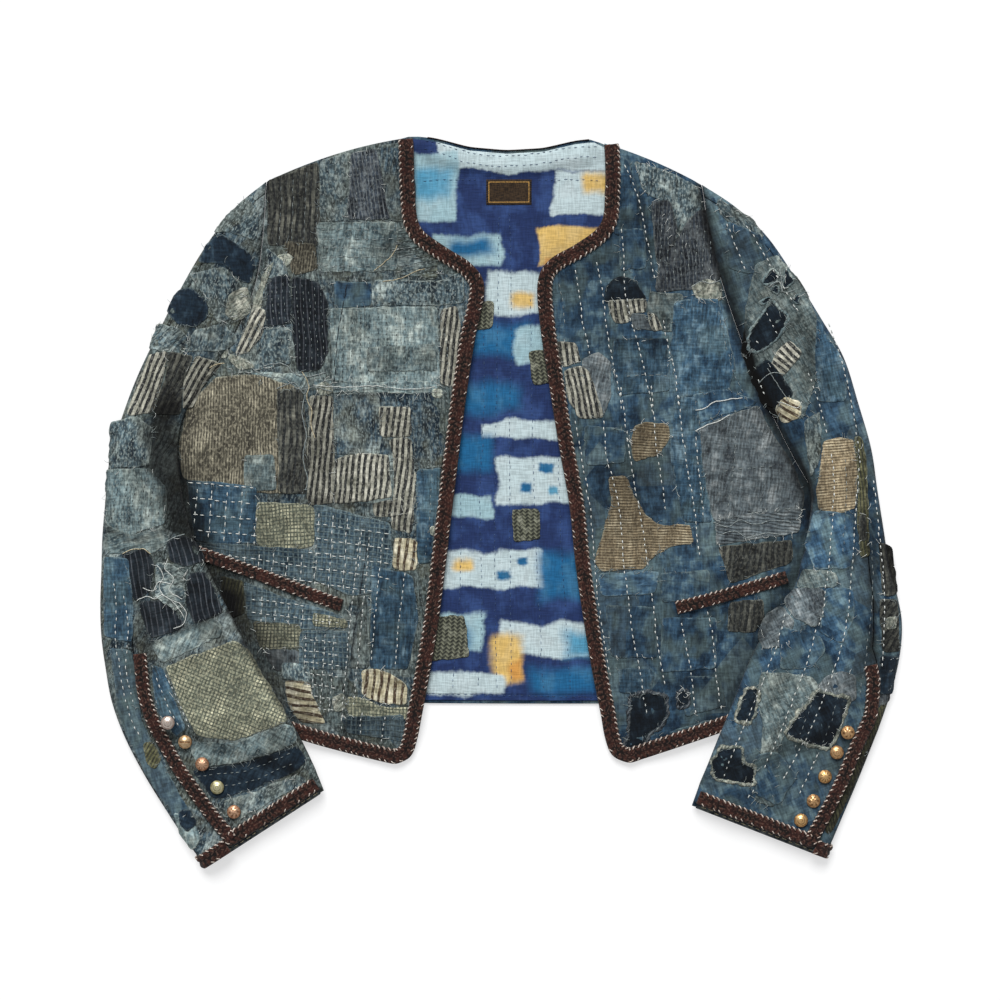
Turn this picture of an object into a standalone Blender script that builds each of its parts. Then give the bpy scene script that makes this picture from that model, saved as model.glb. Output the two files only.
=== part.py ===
"""Collarless patched work jacket with braid edges, laid out flat with its sleeves folded over its fronts.

The back lies on the floor with its lining on it, the fronts lie on the lining, and each sleeve is a
flattened tube that starts at its armhole and climbs over the side of the front. Sizes are in
millimetres in the tables and in metres in the scene. +X runs to the wearer's left, +Y to the neck.
"""

import math
from collections import namedtuple

import bmesh
import bpy
from mathutils import Vector
from mathutils.bvhtree import BVHTree

# Cloth and trim, in millimetres
CLOTH = 2.4  # fronts and sleeves: quilted layers of old cotton
BACK_CLOTH = 2.2
LINING = 1.0
PATCH = 0.8
LABEL = 0.6
GAP = 0.3  # between two pieces at a seam or in a pile
TUBE_GAP = 0.8  # between the two halves of a sleeve, which twist as they climb
BRAID_WIDTH = 12.0
BRAID_HEIGHT = 3.6
BRAID_GAP = 0.7
BUTTON_RADIUS = 6.5
BUTTON_HEIGHT = 4.6

SLEEVE_HEIGHT = 8.2  # two walls, with less than 4 mm between them
ARMHOLE_HEIGHT = 7.0

# What a front lies on
FRONT_REST = BACK_CLOTH + GAP + LINING + GAP

# Where a panel changes height
NECK_BAND = 14.0  # the back stands on its own neck braid over this width
NECK_RISE = 4.5
BACK_HEM_DROP = (-202.0, -232.0)  # the fronts come down to the floor past the back's hem
SLEEVE_CLIMB = (18.0, 46.0)  # a sleeve is fully on the body to 18 and on the floor from 46 outside it
SLEEVE_CLEAR = 0.8
HEM_RIDGE = (28.0, 46.0)  # a sleeve is lifted by the hem braid to 28 and falls by 46 outside its line

# Each side: the armhole's two ends, its bow towards the body, and the side seam's foot
Side = namedtuple("Side", "name sign pit_x pit_y tip_x tip_y bow foot_x foot_y")
RIGHT = Side("right", -1, -306, 15, -222, 301, 20, -292, -190)
LEFT = Side("left", 1, 297, 5, 190, 298, 17, 292, -192)

# A front, a row for each section from the hem to the shoulder. `edge` is on the front edge or the
# neck. `along` is the other end: 0 to 1 up the side seam, and 1 to 2 up the armhole.
FrontRow = namedtuple("FrontRow", "edge_x edge_y along bow")
FRONT_ROWS = {
    "right": [
        FrontRow(-100, -251, 0.00, -5),
        FrontRow(-86, -244, 0.015, -4),
        FrontRow(-80, -228, 0.03, -2),
        FrontRow(-75, -203, 0.06, 0),
        FrontRow(-68, -166, 0.28, 0),
        FrontRow(-60, -119, 0.52, 0),
        FrontRow(-53, -64, 0.76, 0),
        FrontRow(-46, -5, 1.00, 0),
        FrontRow(-40, 45, 1.13, 0),
        FrontRow(-33, 100, 1.27, 0),
        FrontRow(-25, 152, 1.41, 0),
        FrontRow(-16, 200, 1.54, 0),
        FrontRow(-28, 222, 1.66, 0),
        FrontRow(-54, 239, 1.77, 0),
        FrontRow(-77, 258, 1.87, 1),
        FrontRow(-82, 292, 1.92, 3),
        FrontRow(-83, 328, 1.96, 5),
        FrontRow(-84, 343, 2.00, 6),
    ],
    "left": [
        FrontRow(122, -250, 0.00, 0),
        FrontRow(106, -243, 0.015, 0),
        FrontRow(99, -226, 0.03, 0),
        FrontRow(95, -204, 0.06, 0),
        FrontRow(87, -164, 0.28, 0),
        FrontRow(79, -117, 0.52, 0),
        FrontRow(71, -62, 0.76, 0),
        FrontRow(65, -5, 1.00, 0),
        FrontRow(55, 52, 1.13, 0),
        FrontRow(46, 108, 1.27, 0),
        FrontRow(38, 160, 1.41, 0),
        FrontRow(35, 205, 1.54, 0),
        FrontRow(46, 226, 1.66, 0),
        FrontRow(73, 242, 1.77, 0),
        FrontRow(95, 261, 1.87, 0),
        FrontRow(99, 292, 1.92, 1),
        FrontRow(99, 323, 1.96, 2),
        FrontRow(98, 337, 2.00, 3),
    ],
}
EDGE_BAND = 14.0  # a front's first cells, which carry its braid
FRONT_COLUMNS = (0.0, 0.14, 0.28, 0.42, 0.56, 0.70, 0.84, 0.955, 1.0)  # shares of the rest

# The back's upper outline from the right armhole over shoulder, neck and shoulder to the left one
TOP_OUTLINE = [
    (-222, 301), (-180, 319), (-140, 330), (-110, 338), (-84, 345), (-60, 341), (-30, 333),
    (5, 330), (40, 332), (70, 339), (88, 341), (101, 335), (140, 321), (165, 312), (190, 298),
]
NECK_ENDS = (-80, 94)
BACK_COLUMNS = (0, 0.17, 0.345, 0.38, 0.5, 0.62, 0.733, 0.767, 0.9, 1)
BACK_HEM_BOW = -3.0
NECK_ROWS = {-4: 42.0, -3: 28.0, -2: 14.0}  # how far the back's last rows lie below the neck's edge

# A sleeve, a row for each section from the armhole to the cuff. `outer` and `inner` are its two folds,
# `seam_in` the back seam's distance from the outer fold, `on_body` how much of the climb over the
# front it takes, and `lift` what its own cuff braid lifts it.
SleeveRow = namedtuple("SleeveRow", "outer_x outer_y inner_x inner_y seam_in on_body lift")
SLEEVE_ROWS = {
    "right": [
        SleeveRow(-222, 301, -306, 15, 12, 0.0, 0),
        SleeveRow(-252, 276, -308.5, 13.5, 12, 0.0, 0),
        SleeveRow(-281, 238, -310.5, 11, 12, 0.2, 0),
        SleeveRow(-305, 197, -312, 8, 13, 0.4, 0),
        SleeveRow(-326, 156, -312.5, 5, 15, 0.6, 0),
        SleeveRow(-345, 116, -312.5, 0, 17, 0.8, 0),
        SleeveRow(-360, 76, -310.5, -8, 19, 0.9, 0),
        SleeveRow(-371, 38, -304, -20, 21, 1, 0),
        SleeveRow(-375, 0, -295, -35, 23, 1, 0),
        SleeveRow(-378, -35, -284, -52, 25, 1, 0),
        SleeveRow(-379, -68, -275, -70, 27, 1, 0),
        SleeveRow(-380, -100, -263, -94, 29, 1, 0),
        SleeveRow(-379, -130, -251, -118, 31, 1, 0),
        SleeveRow(-375, -160, -239, -142, 29, 1, 0),
        SleeveRow(-369, -192, -226, -166, 27, 1, 0),
        SleeveRow(-357, -225, -211, -190, 27, 1, 0),
        SleeveRow(-339, -260, -196, -213, 27, 1, 0),
        SleeveRow(-318, -294, -184, -236, 28, 1, 0.5),
        SleeveRow(-302, -318, -176, -253, 29, 1, 2),
        SleeveRow(-290, -334, -173, -261, 30, 1, 4.4),
        SleeveRow(-282, -345, -169, -272, 30, 1, 4.4),
    ],
    "left": [
        SleeveRow(190, 298, 297, 5, 12, 0.0, 0),
        SleeveRow(222, 277, 299.5, 3.5, 12, 0.0, 0),
        SleeveRow(252, 249, 301.5, 1, 12, 0.2, 0),
        SleeveRow(279, 210, 303, -2, 12, 0.4, 0),
        SleeveRow(303, 172, 303.5, -5, 12, 0.6, 0),
        SleeveRow(325, 134, 304, -10, 12, 0.8, 0),
        SleeveRow(339, 90, 303, -18, 13, 0.9, 0),
        SleeveRow(351, 48, 299.5, -30, 14, 1, 0),
        SleeveRow(357, 8, 292, -45, 16, 1, 0),
        SleeveRow(363, -30, 285, -61, 18, 1, 0),
        SleeveRow(368, -62, 279, -78, 20, 1, 0),
        SleeveRow(375, -88, 270, -97, 24, 1, 0),
        SleeveRow(380, -115, 256, -115, 28, 1, 0),
        SleeveRow(379, -142, 243, -136, 28, 1, 0),
        SleeveRow(373, -172, 231, -160, 15, 1, 0),
        SleeveRow(362, -206, 220, -188, 6, 1, 0),
        SleeveRow(349, -240, 208, -218, 9, 1, 0),
        SleeveRow(336, -272, 197, -246, 9, 1, 0),
        SleeveRow(323, -302, 189, -267, 11, 1, 1.5),
        SleeveRow(314, -322, 186, -275, 13, 1, 4.4),
        SleeveRow(308, -335, 182, -286, 14, 1, 4.4),
    ],
}
ARC_STEPS = 3  # in a quarter of a sleeve's fold
FLAT_STEPS = 5  # across the flat of a sleeve

# Soft ridges in the fronts: a middle, a direction, and how long, wide and high
Fold = namedtuple("Fold", "x y degrees length width height")
FOLDS = [
    Fold(-128, 285, 80, 60, 16, 2.2),
    Fold(-165, 235, 95, 70, 20, 2.0),
    Fold(-225, 90, 60, 80, 26, 2.4),
    Fold(-120, 40, 88, 110, 24, 1.8),
    Fold(-170, -60, 72, 80, 26, 2.2),
    Fold(-130, -150, 80, 60, 20, 1.6),
    Fold(135, 275, 100, 60, 16, 2.2),
    Fold(170, 215, 100, 70, 18, 2.4),
    Fold(205, 60, 110, 90, 26, 2.2),
    Fold(115, 20, 98, 120, 24, 1.8),
    Fold(170, -110, 55, 60, 22, 2.4),
    Fold(140, -170, 105, 60, 20, 1.6),
]
FOLD_MARGIN = 24.0  # folds die away over this width at a panel's edges

# Patches that are sewn on: a panel, the block of its cells that each covers, and a colour
Patch = namedtuple("Patch", "name panel rows columns colour")
PATCHES = [
    Patch("right_shoulder_rib_patch", "right_front", (12, 16), (6, 8), (0.16, 0.16, 0.15)),
    Patch("right_pinstripe_patch", "right_front", (10, 12), (6, 8), (0.02, 0.02, 0.03)),
    Patch("right_chest_denim_patch", "right_front", (9, 11), (2, 5), (0.19, 0.26, 0.28)),
    Patch("right_homespun_patch", "right_front", (7, 9), (5, 8), (0.17, 0.15, 0.12)),
    Patch("right_ticking_patch", "right_front", (7, 9), (2, 4), (0.30, 0.28, 0.24)),
    Patch("right_cross_stitch_patch", "right_front", (6, 7), (6, 8), (0.06, 0.10, 0.16)),
    Patch("right_cream_check_patch", "right_front", (6, 7), (4, 6), (0.32, 0.32, 0.24)),
    Patch("right_front_blue_patch", "right_front", (4, 6), (2, 3), (0.05, 0.09, 0.16)),
    Patch("right_hem_check_patch", "right_front", (3, 5), (4, 6), (0.10, 0.14, 0.18)),
    Patch("left_shoulder_fleck_patch", "left_front", (12, 16), (3, 5), (0.20, 0.22, 0.22)),
    Patch("left_charcoal_rib_patch", "left_front", (11, 13), (6, 8), (0.07, 0.08, 0.09)),
    Patch("left_chest_blue_patch", "left_front", (9, 11), (6, 8), (0.10, 0.19, 0.27)),
    Patch("left_twill_patch", "left_front", (7, 9), (5, 8), (0.15, 0.16, 0.17)),
    Patch("left_ticking_patch", "left_front", (8, 10), (1, 2), (0.30, 0.30, 0.28)),
    Patch("left_darned_patch", "left_front", (5, 7), (2, 3), (0.30, 0.25, 0.19)),
    Patch("left_waist_band_patch", "left_front", (6, 7), (6, 8), (0.14, 0.17, 0.20)),
    Patch("left_hem_indigo_patch", "left_front", (2, 4), (2, 3), (0.01, 0.015, 0.03)),
    Patch("right_arm_navy_patch", "right_upper_sleeve", (2, 4), (1, 3), (0.02, 0.03, 0.05)),
    Patch("right_arm_ticking_patch", "right_upper_sleeve", (5, 7), (0, 3), (0.24, 0.22, 0.18)),
    Patch("right_forearm_indigo_patch", "right_upper_sleeve", (10, 12), (1, 4), (0.02, 0.03, 0.05)),
    Patch("right_cuff_check_patch", "right_upper_sleeve", (13, 16), (2, 5), (0.30, 0.30, 0.22)),
    Patch("left_arm_indigo_patch", "left_upper_sleeve", (2, 4), (2, 4), (0.02, 0.02, 0.03)),
    Patch("left_arm_darned_patch", "left_upper_sleeve", (7, 9), (1, 3), (0.34, 0.28, 0.22)),
    Patch("left_forearm_blue_patch", "left_upper_sleeve", (10, 12), (1, 4), (0.08, 0.13, 0.19)),
    Patch("left_cuff_indigo_patch", "left_upper_sleeve", (14, 16), (2, 4), (0.01, 0.015, 0.03)),
]

# Trim and notions
POCKETS = {"right": ((-276, -54), (-149, -101)), "left": ((272, -73), (164, -103))}
VENT_TOPS = {"right": -142, "left": -152}
BUTTONS = {
    "right": [(-313, -210), (-298, -229), (-282, -250), (-268, -272), (-252, -295)],
    "left": [(327, -220), (317, -239), (306, -262), (295, -285), (283, -303)],
}
LABEL_BOX = (-14, 279, 29, 303)
CORNER_RADIUS = 10.0
PATH_STEP = 12.0

COLOURS = {
    "cloth": (0.10, 0.14, 0.17),
    "lining": (0.04, 0.07, 0.18),
    "braid": (0.035, 0.014, 0.010),
    "label": (0.02, 0.012, 0.008),
    "silver": (0.70, 0.60, 0.52),
    "brass": (0.60, 0.36, 0.14),
}


def smoothstep(value):
    value = min(max(value, 0.0), 1.0)
    return value * value * (3 - 2 * value)


def between(a, b, share):
    return a + (b - a) * share


def on_outline(x):
    """The height of the back's upper outline above a place across the shoulders."""
    x = min(max(x, TOP_OUTLINE[0][0]), TOP_OUTLINE[-1][0])
    for (x0, y0), (x1, y1) in zip(TOP_OUTLINE, TOP_OUTLINE[1:]):
        if x <= x1:
            return between(y0, y1, (x - x0) / (x1 - x0))
    return TOP_OUTLINE[-1][1]


def seam_point(side, along):
    """A place on a side seam (0 to 1) or on the armhole above it (1 to 2), in plan."""
    pit = Vector((side.pit_x, side.pit_y))
    if along <= 1:
        return Vector((side.foot_x, side.foot_y)).lerp(pit, along)
    tip, share = Vector((side.tip_x, side.tip_y)), along - 1
    chord = (tip - pit).normalized()
    inward = Vector((-side.sign * abs(chord.y), -abs(chord.x)))
    return pit.lerp(tip, share) + inward * side.bow * 4 * share * (1 - share)


def seam_vertex(side, along):
    """A place on the same seam as the panels have it, straight between their rows."""
    marks = [row.along for row in FRONT_ROWS[side.name]]
    for low, high in zip(marks, marks[1:]):
        if along <= high:
            return seam_point(side, low).lerp(seam_point(side, high), (along - low) / (high - low))
    return seam_point(side, marks[-1])


def outside_body(side, x, y):
    """Two distances: how far a place lies outside the body, and how far past its hem alone."""
    pit, foot = Vector((side.pit_x, side.pit_y)), Vector((side.foot_x, side.foot_y))
    hem = FRONT_ROWS[side.name][0]
    corner = Vector((hem.edge_x, hem.edge_y))
    place = Vector((x, y))
    across = (pit - foot).normalized()
    past_side = (place - foot).dot(Vector((across.y, -across.x))) * side.sign
    along_hem = (corner - foot).normalized()
    past_hem = (place - foot).dot(Vector((-along_hem.y, along_hem.x))) * side.sign
    return max(past_side, past_hem, y - side.pit_y), past_hem


def in_neck(x):
    """1 within the neck's opening and 0 past its ends, along the back's upper outline."""
    return smoothstep((x - NECK_ENDS[0]) / NECK_BAND) * smoothstep((NECK_ENDS[1] - x) / NECK_BAND)


def neck_rise(x, y):
    """What the braid under the back's neck edge lifts the pile."""
    return NECK_RISE * in_neck(x) * smoothstep(2 - (on_outline(x) - y) / NECK_BAND)


def folds(x, y):
    """The height of the fronts' soft ridges at a place."""
    total = 0.0
    for fold in FOLDS:
        turn = math.radians(fold.degrees)
        along = (x - fold.x) * math.cos(turn) + (y - fold.y) * math.sin(turn)
        across = (y - fold.y) * math.cos(turn) - (x - fold.x) * math.sin(turn)
        total += fold.height * math.exp(-((across / fold.width) ** 2) - (along / fold.length) ** 4)
    return total


def front_rest(y):
    """The height of a front's underside: on the lining, and on the floor past the back's hem."""
    start, end = BACK_HEM_DROP
    return FRONT_REST * smoothstep((y - end) / (start - end))


def front_grid(side):
    """The upper face of a front, in rows from the hem to the shoulder."""
    rows = FRONT_ROWS[side.name]
    grid = []
    for index, row in enumerate(rows):
        edge, seam = Vector((row.edge_x, row.edge_y)), seam_point(side, row.along)
        length = (seam - edge).length
        to_end = FOLD_MARGIN * min(index, len(rows) - 1 - index)
        band = EDGE_BAND / length
        points = []
        for share in [0.0] + [between(band, 1.0, column) for column in FRONT_COLUMNS]:
            place = edge.lerp(seam, share)
            place.y += row.bow * 4 * share * (1 - share)
            inside = min(share * length, (1 - share) * length, to_end)
            height = front_rest(place.y) + folds(*place) * smoothstep(inside / FOLD_MARGIN)
            points.append(Vector((*place, height + CLOTH)))
        grid.append(points)
    return grid


def back_grid():
    """The upper face of the back, in rows from the hem to the neck."""
    grid = []
    for index, row in enumerate(FRONT_ROWS["right"]):
        right, left = seam_point(RIGHT, row.along), seam_point(LEFT, row.along)
        swell = smoothstep((row.along - 1.6) / 0.4)
        from_top = NECK_ROWS.get(index - len(FRONT_ROWS["right"]), 0.0)
        tips = (RIGHT.tip_x, RIGHT.tip_y), (LEFT.tip_x, LEFT.tip_y)
        points = []
        for share in BACK_COLUMNS:
            x = between(right.x, left.x, share)
            over_tips = on_outline(x) - between(tips[0][1], tips[1][1], share)
            y = between(right.y, left.y, share) + over_tips * swell * (0 < share < 1)
            if index == 0:
                y += BACK_HEM_BOW * 4 * share * (1 - share)
            if from_top:
                y = between(y, on_outline(x) - from_top, in_neck(x))
            points.append(Vector((x, y, BACK_CLOTH + neck_rise(x, y))))
        grid.append(points)
    return grid


def sleeve_floor(side, row, x, y):
    """The height of what lies under a sleeve: the floor, or the body's front and its hem braid."""
    past, past_hem = outside_body(side, x, y)
    near, far = SLEEVE_CLIMB
    climb = row.on_body * smoothstep((far - past) / (far - near))
    front = front_rest(y) + CLOTH + folds(x, y) + SLEEVE_CLEAR
    ridge_near, ridge_far = HEM_RIDGE
    width = ridge_far - ridge_near
    ridge = smoothstep((ridge_far - past_hem) / width) * smoothstep((past_hem + ridge_far + width) / width)
    return climb * (front + ridge * (BRAID_HEIGHT + 3 * BRAID_GAP)) + row.lift


def row_height(side, row):
    return ARMHOLE_HEIGHT if row is SLEEVE_ROWS[side.name][0] else SLEEVE_HEIGHT


def ring_point(side, row, from_outer, level, wall):
    """A place on a sleeve's section, `from_outer` in plan from its outer fold. Its floor is at level -1."""
    outer, inner = Vector((row.outer_x, row.outer_y)), Vector((row.inner_x, row.inner_y))
    place = outer + (inner - outer).normalized() * from_outer
    share = from_outer / (inner - outer).length
    if row is SLEEVE_ROWS[side.name][0]:
        seam = seam_vertex(side, 2 - min(max(share, 0), 1))
        place = seam + Vector((side.sign * 2 * GAP, 0))
    floor = sleeve_floor(side, row, *place)
    half = row_height(side, row) / 2
    return Vector((*place, floor + half + level * (half - wall)))


def fold_arc(start, end, radius, wall, length, at_inner):
    """Pairs of plan distance and level round a fold, between two angles from its middle plane."""
    places = []
    for step in range(ARC_STEPS + 1):
        angle = math.radians(between(start, end, step / ARC_STEPS))
        reach = radius - (radius - wall) * math.cos(angle)
        places.append((length - reach if at_inner else reach, math.sin(angle)))
    return places


def sleeve_grids(side):
    """Outer and inner faces of the upper and the under sleeve, in rows from the armhole to the cuff."""
    grids = {"upper": ([], []), "under": ([], [])}
    for row in SLEEVE_ROWS[side.name]:
        length = math.dist((row.outer_x, row.outer_y), (row.inner_x, row.inner_y))
        radius = row_height(side, row) / 2
        tilt = math.degrees(TUBE_GAP / 2 / radius)
        for face, wall in enumerate((0.0, CLOTH)):
            reaches = [
                between(row.seam_in + TUBE_GAP / 2, length - radius, step / FLAT_STEPS)
                for step in range(FLAT_STEPS)
            ]
            flat_top = [(reach, 1.0) for reach in reaches]
            flat_bottom = [(reach, -1.0) for reach in reaches]
            upper = flat_top + fold_arc(90, tilt, radius, wall, length, True)
            under = [(row.seam_in - TUBE_GAP / 2, 1.0)] + fold_arc(90, 0, radius, wall, length, False)
            under += fold_arc(0, -90, radius, wall, length, False)[1:] + flat_bottom
            under += fold_arc(-90, -tilt, radius, wall, length, True)
            for name, places in (("upper", upper), ("under", under)):
                line = [ring_point(side, row, reach, level, wall) for reach, level in places]
                grids[name][face].append(line)
    return grids


def lowered(grid, depth):
    return [[point - Vector((0, 0, depth)) for point in row] for row in grid]


def material(name, colour, roughness=0.9, metallic=0.0):
    made = bpy.data.materials.get(name) or bpy.data.materials.new(name)
    made.use_nodes = True
    shader = made.node_tree.nodes["Principled BSDF"]
    shader.inputs["Base Color"].default_value = (*colour, 1.0)
    shader.inputs["Roughness"].default_value = roughness
    shader.inputs["Metallic"].default_value = metallic
    return made


def add_object(name, mesh_builder, made_material):
    """Turns a bmesh in millimetres into a named object in metres, with its normals pointing out."""
    bmesh.ops.recalc_face_normals(mesh_builder, faces=mesh_builder.faces)
    bmesh.ops.scale(mesh_builder, vec=(0.001,) * 3, verts=mesh_builder.verts)
    mesh = bpy.data.meshes.new(name)
    mesh_builder.to_mesh(mesh)
    mesh_builder.free()
    mesh.materials.append(made_material)
    made = bpy.data.objects.new(name, mesh)
    bpy.context.scene.collection.objects.link(made)
    return made


def sheet(name, upper, lower, made_material):
    """A closed wall of cloth between two faces that are given as grids of the same size."""
    builder = bmesh.new()
    faces = [[[builder.verts.new(point) for point in row] for row in grid] for grid in (upper, lower)]
    last_row, last_column = len(upper) - 1, len(upper[0]) - 1
    for face in faces:
        for i in range(last_row):
            for j in range(last_column):
                builder.faces.new((face[i][j], face[i][j + 1], face[i + 1][j + 1], face[i + 1][j]))
    rim = [(0, j) for j in range(last_column)]
    rim += [(i, last_column) for i in range(last_row)]
    rim += [(last_row, j) for j in range(last_column, 0, -1)]
    rim += [(i, 0) for i in range(last_row, 0, -1)]
    for (i0, j0), (i1, j1) in zip(rim, rim[1:] + rim[:1]):
        builder.faces.new((faces[0][i0][j0], faces[0][i1][j1], faces[1][i1][j1], faces[1][i0][j0]))
    bmesh.ops.triangulate(builder, faces=builder.faces, quad_method="FIXED")
    return add_object(name, builder, made_material)


def patch(entry, panels):
    """A patch made from the cells of its panel's upper face, moved up."""
    (row0, row1), (column0, column1) = entry.rows, entry.columns
    cells = [row[column0 : column1 + 1] for row in panels[entry.panel][row0 : row1 + 1]]
    made = material(entry.name, entry.colour)
    sheet(entry.name, lowered(cells, -GAP - PATCH), lowered(cells, -GAP), made)


def surface(*grids):
    """A tree that rays from above can meet, of the faces of one or more grids."""
    points, faces = [], []
    for grid in grids:
        width, start = len(grid[0]), len(points)
        points += [point for row in grid for point in row]
        for i in range(len(grid) - 1):
            for j in range(width - 1):
                a = start + i * width + j
                faces += [(a, a + 1, a + width + 1), (a, a + width + 1, a + width)]
    return BVHTree.FromPolygons(points, faces)


def on_surface(tree, place, fallback=0.0):
    """The height of a surface at a place in plan."""
    hit = tree.ray_cast(Vector((place[0], place[1], 100.0)), Vector((0, 0, -1)))[0]
    return hit.z if hit else fallback


def smooth_path(points, step=PATH_STEP):
    """Even points along a Catmull-Rom curve through the given ones, in plan."""
    ends = [points[0] * 2 - points[1], *points, points[-1] * 2 - points[-2]]
    fine = []
    for a, b, c, d in zip(ends, ends[1:], ends[2:], ends[3:]):
        for index in range(12):
            t = index / 12
            bend, twist = 2 * a - 5 * b + 4 * c - d, 3 * b - a - 3 * c + d
            fine.append(0.5 * (2 * b + (c - a) * t + bend * t**2 + twist * t**3))
    fine.append(points[-1])
    return even_path(fine, step)


def even_path(points, step):
    lengths = [0.0]
    for a, b in zip(points, points[1:]):
        lengths.append(lengths[-1] + (b - a).length)
    count = max(2, round(lengths[-1] / step))
    path, index = [], 0
    for number in range(count + 1):
        wanted = lengths[-1] * number / count
        while index < len(points) - 2 and lengths[index + 1] < wanted:
            index += 1
        share = (wanted - lengths[index]) / max(lengths[index + 1] - lengths[index], 1e-9)
        path.append(points[index].lerp(points[index + 1], share))
    return path


def moved_in(path, distance):
    """A path in plan moved to its left by a distance."""
    moved = []
    for index, point in enumerate(path):
        ahead = path[min(index + 1, len(path) - 1)] - path[max(index - 1, 0)]
        moved.append(point + Vector((-ahead.y, ahead.x)).normalized() * distance)
    return moved


def braid(name, points, normals):
    """A flattened half-round cord swept along points on a surface, standing on it along the normals."""
    half, rise = BRAID_WIDTH / 2, BRAID_HEIGHT
    profile = [(-half, 0), (-0.75 * half, rise), (0.75 * half, rise), (half, 0)]
    builder = bmesh.new()
    rings = []
    for index, (point, normal) in enumerate(zip(points, normals)):
        ahead = (points[min(index + 1, len(points) - 1)] - points[max(index - 1, 0)]).normalized()
        across = ahead.cross(normal).normalized()
        up = across.cross(ahead)
        ring = [point + across * a + up * (BRAID_GAP + b) for a, b in profile]
        rings.append([builder.verts.new(place) for place in ring])
    for first, second in zip(rings, rings[1:]):
        for a in range(len(profile)):
            b = (a + 1) % len(profile)
            builder.faces.new((first[a], first[b], second[b], second[a]))
    builder.faces.new(rings[0])
    builder.faces.new(rings[-1])
    return add_object(name, builder, material("braid", COLOURS["braid"], 0.8))


def braid_on(name, tree, path):
    """A braid along a path in plan, laid on a surface that is seen from above."""
    reach = BRAID_WIDTH / 2
    points, normals = [], []
    for place in path:
        z = on_surface(tree, place)
        steps = Vector((reach, 0)), Vector((0, reach))
        rises = [on_surface(tree, place + step, z) - on_surface(tree, place - step, z) for step in steps]
        slope = Vector(rises) / (2 * reach)
        around = [Vector((i, j)) * reach / 2 for i in (-2, -1, 0, 1, 2) for j in (-2, -1, 0, 1, 2)]
        proud = max(on_surface(tree, place + move, z) - z - slope.dot(move) for move in around)
        points.append(Vector((*place, z + min(max(proud, 0.0), BRAID_GAP))))
        normals.append(Vector((-slope.x, -slope.y, 1)).normalized())
    return braid(name, points, normals)


def front_braid(side, grid):
    """Down the neck and the front edge, round the corner and along the hem to the sleeve."""
    edge = [Vector(point.xy) for point in [row[0] for row in grid][::-1]]
    hem = [Vector(point.xy) for point in grid[0][1:]]
    path = moved_in(smooth_path(edge + hem), side.sign * (BRAID_WIDTH / 2 + 0.3))
    braid_on(f"{side.name}_front_braid", surface(grid), path[1:-1])


def back_neck_braid(grid):
    """Under the back's neck edge, on its outer side."""
    path = [Vector(place) for place in TOP_OUTLINE if NECK_ENDS[0] + 8 < place[0] < NECK_ENDS[1] - 6]
    path = moved_in(smooth_path(path), -(BRAID_WIDTH / 2 + 0.5))
    tree = surface(grid)
    points = [Vector((*place, on_surface(tree, place) - BACK_CLOTH)) for place in path]
    braid("back_neck_braid", points, [Vector((0, 0, -1))] * len(points))


def cuff_braid(side, upper):
    """Down the vent of the upper sleeve, round its corner and along the cuff."""
    from_edge = BRAID_WIDTH / 2 + 0.3
    seam = [Vector(row[0].xy) for row in upper]
    inward = [(Vector(row[1].xy) - Vector(row[0].xy)).normalized() for row in upper]
    vent = [place + step * from_edge for place, step in zip(seam, inward)]
    vent = [place for place in vent if place.y < VENT_TOPS[side.name]]
    up_sleeve = (Vector(upper[-2][2].xy) - Vector(upper[-1][2].xy)).normalized()
    cuff = [Vector(point.xy) + up_sleeve * from_edge for point in upper[-1][: FLAT_STEPS + 1]]
    cuff[0] += inward[-1] * from_edge
    corner = cuff[0]
    path = [
        place
        for place in even_path(vent[:-1] + [corner], PATH_STEP / 4) + even_path(cuff, PATH_STEP / 4)
        if (place - corner).length > CORNER_RADIUS
    ]
    braid_on(f"{side.name}_cuff_braid", surface(upper), even_path(path, PATH_STEP / 2))


def under_cuff_braid(side, under):
    """Round the under sleeve at the cuff, from the vent over the outer fold to the inner one."""
    share = (BRAID_WIDTH / 2 + 0.3) / (under[-1][0] - under[-2][0]).length
    points = [last.lerp(before, share) for last, before in zip(under[-1], under[-2])]
    points[0] = points[1].lerp(points[0], 0.9)
    normals = []
    for index, (last, before) in enumerate(zip(under[-1], under[-2])):
        ahead = points[min(index + 1, len(points) - 1)] - points[max(index - 1, 0)]
        normals.append(ahead.cross(before - last).normalized() * side.sign)
    braid(f"{side.name}_under_cuff_braid", points[:-1], normals[:-1])


def button(name, place, height, made_material):
    """A domed metal button: a turned profile on a flat back."""
    profile = [(0.78, 0.0), (1.0, 0.25), (0.94, 0.62), (0.62, 0.92), (0.0, 1.0)]
    builder = bmesh.new()
    verts = [
        builder.verts.new((share * BUTTON_RADIUS, 0, level * BUTTON_HEIGHT)) for share, level in profile
    ]
    edges = [builder.edges.new(pair) for pair in zip(verts, verts[1:])]
    turned = verts + edges
    bmesh.ops.spin(builder, geom=turned, axis=(0, 0, 1), cent=(0, 0, 0), angle=math.tau, steps=12)
    bmesh.ops.remove_doubles(builder, verts=builder.verts, dist=0.01)
    bmesh.ops.holes_fill(builder, edges=[edge for edge in builder.edges if edge.is_boundary], sides=0)
    bmesh.ops.translate(builder, verts=builder.verts, vec=(*place, height))
    made = add_object(name, builder, made_material)
    made.data.shade_smooth()


def label(lining):
    """A woven label, made on the lining's own height."""
    x0, y0, x1, y1 = LABEL_BOX
    tree = surface(lining)
    rows = []
    for y in (y0, between(y0, y1, 0.5), y1):
        xs = [between(x0, x1, step / 4) for step in range(5)]
        rows.append([Vector((x, y, on_surface(tree, (x, y)) + GAP)) for x in xs])
    sheet("neck_label", lowered(rows, -LABEL), rows, material("label", COLOURS["label"]))


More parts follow.
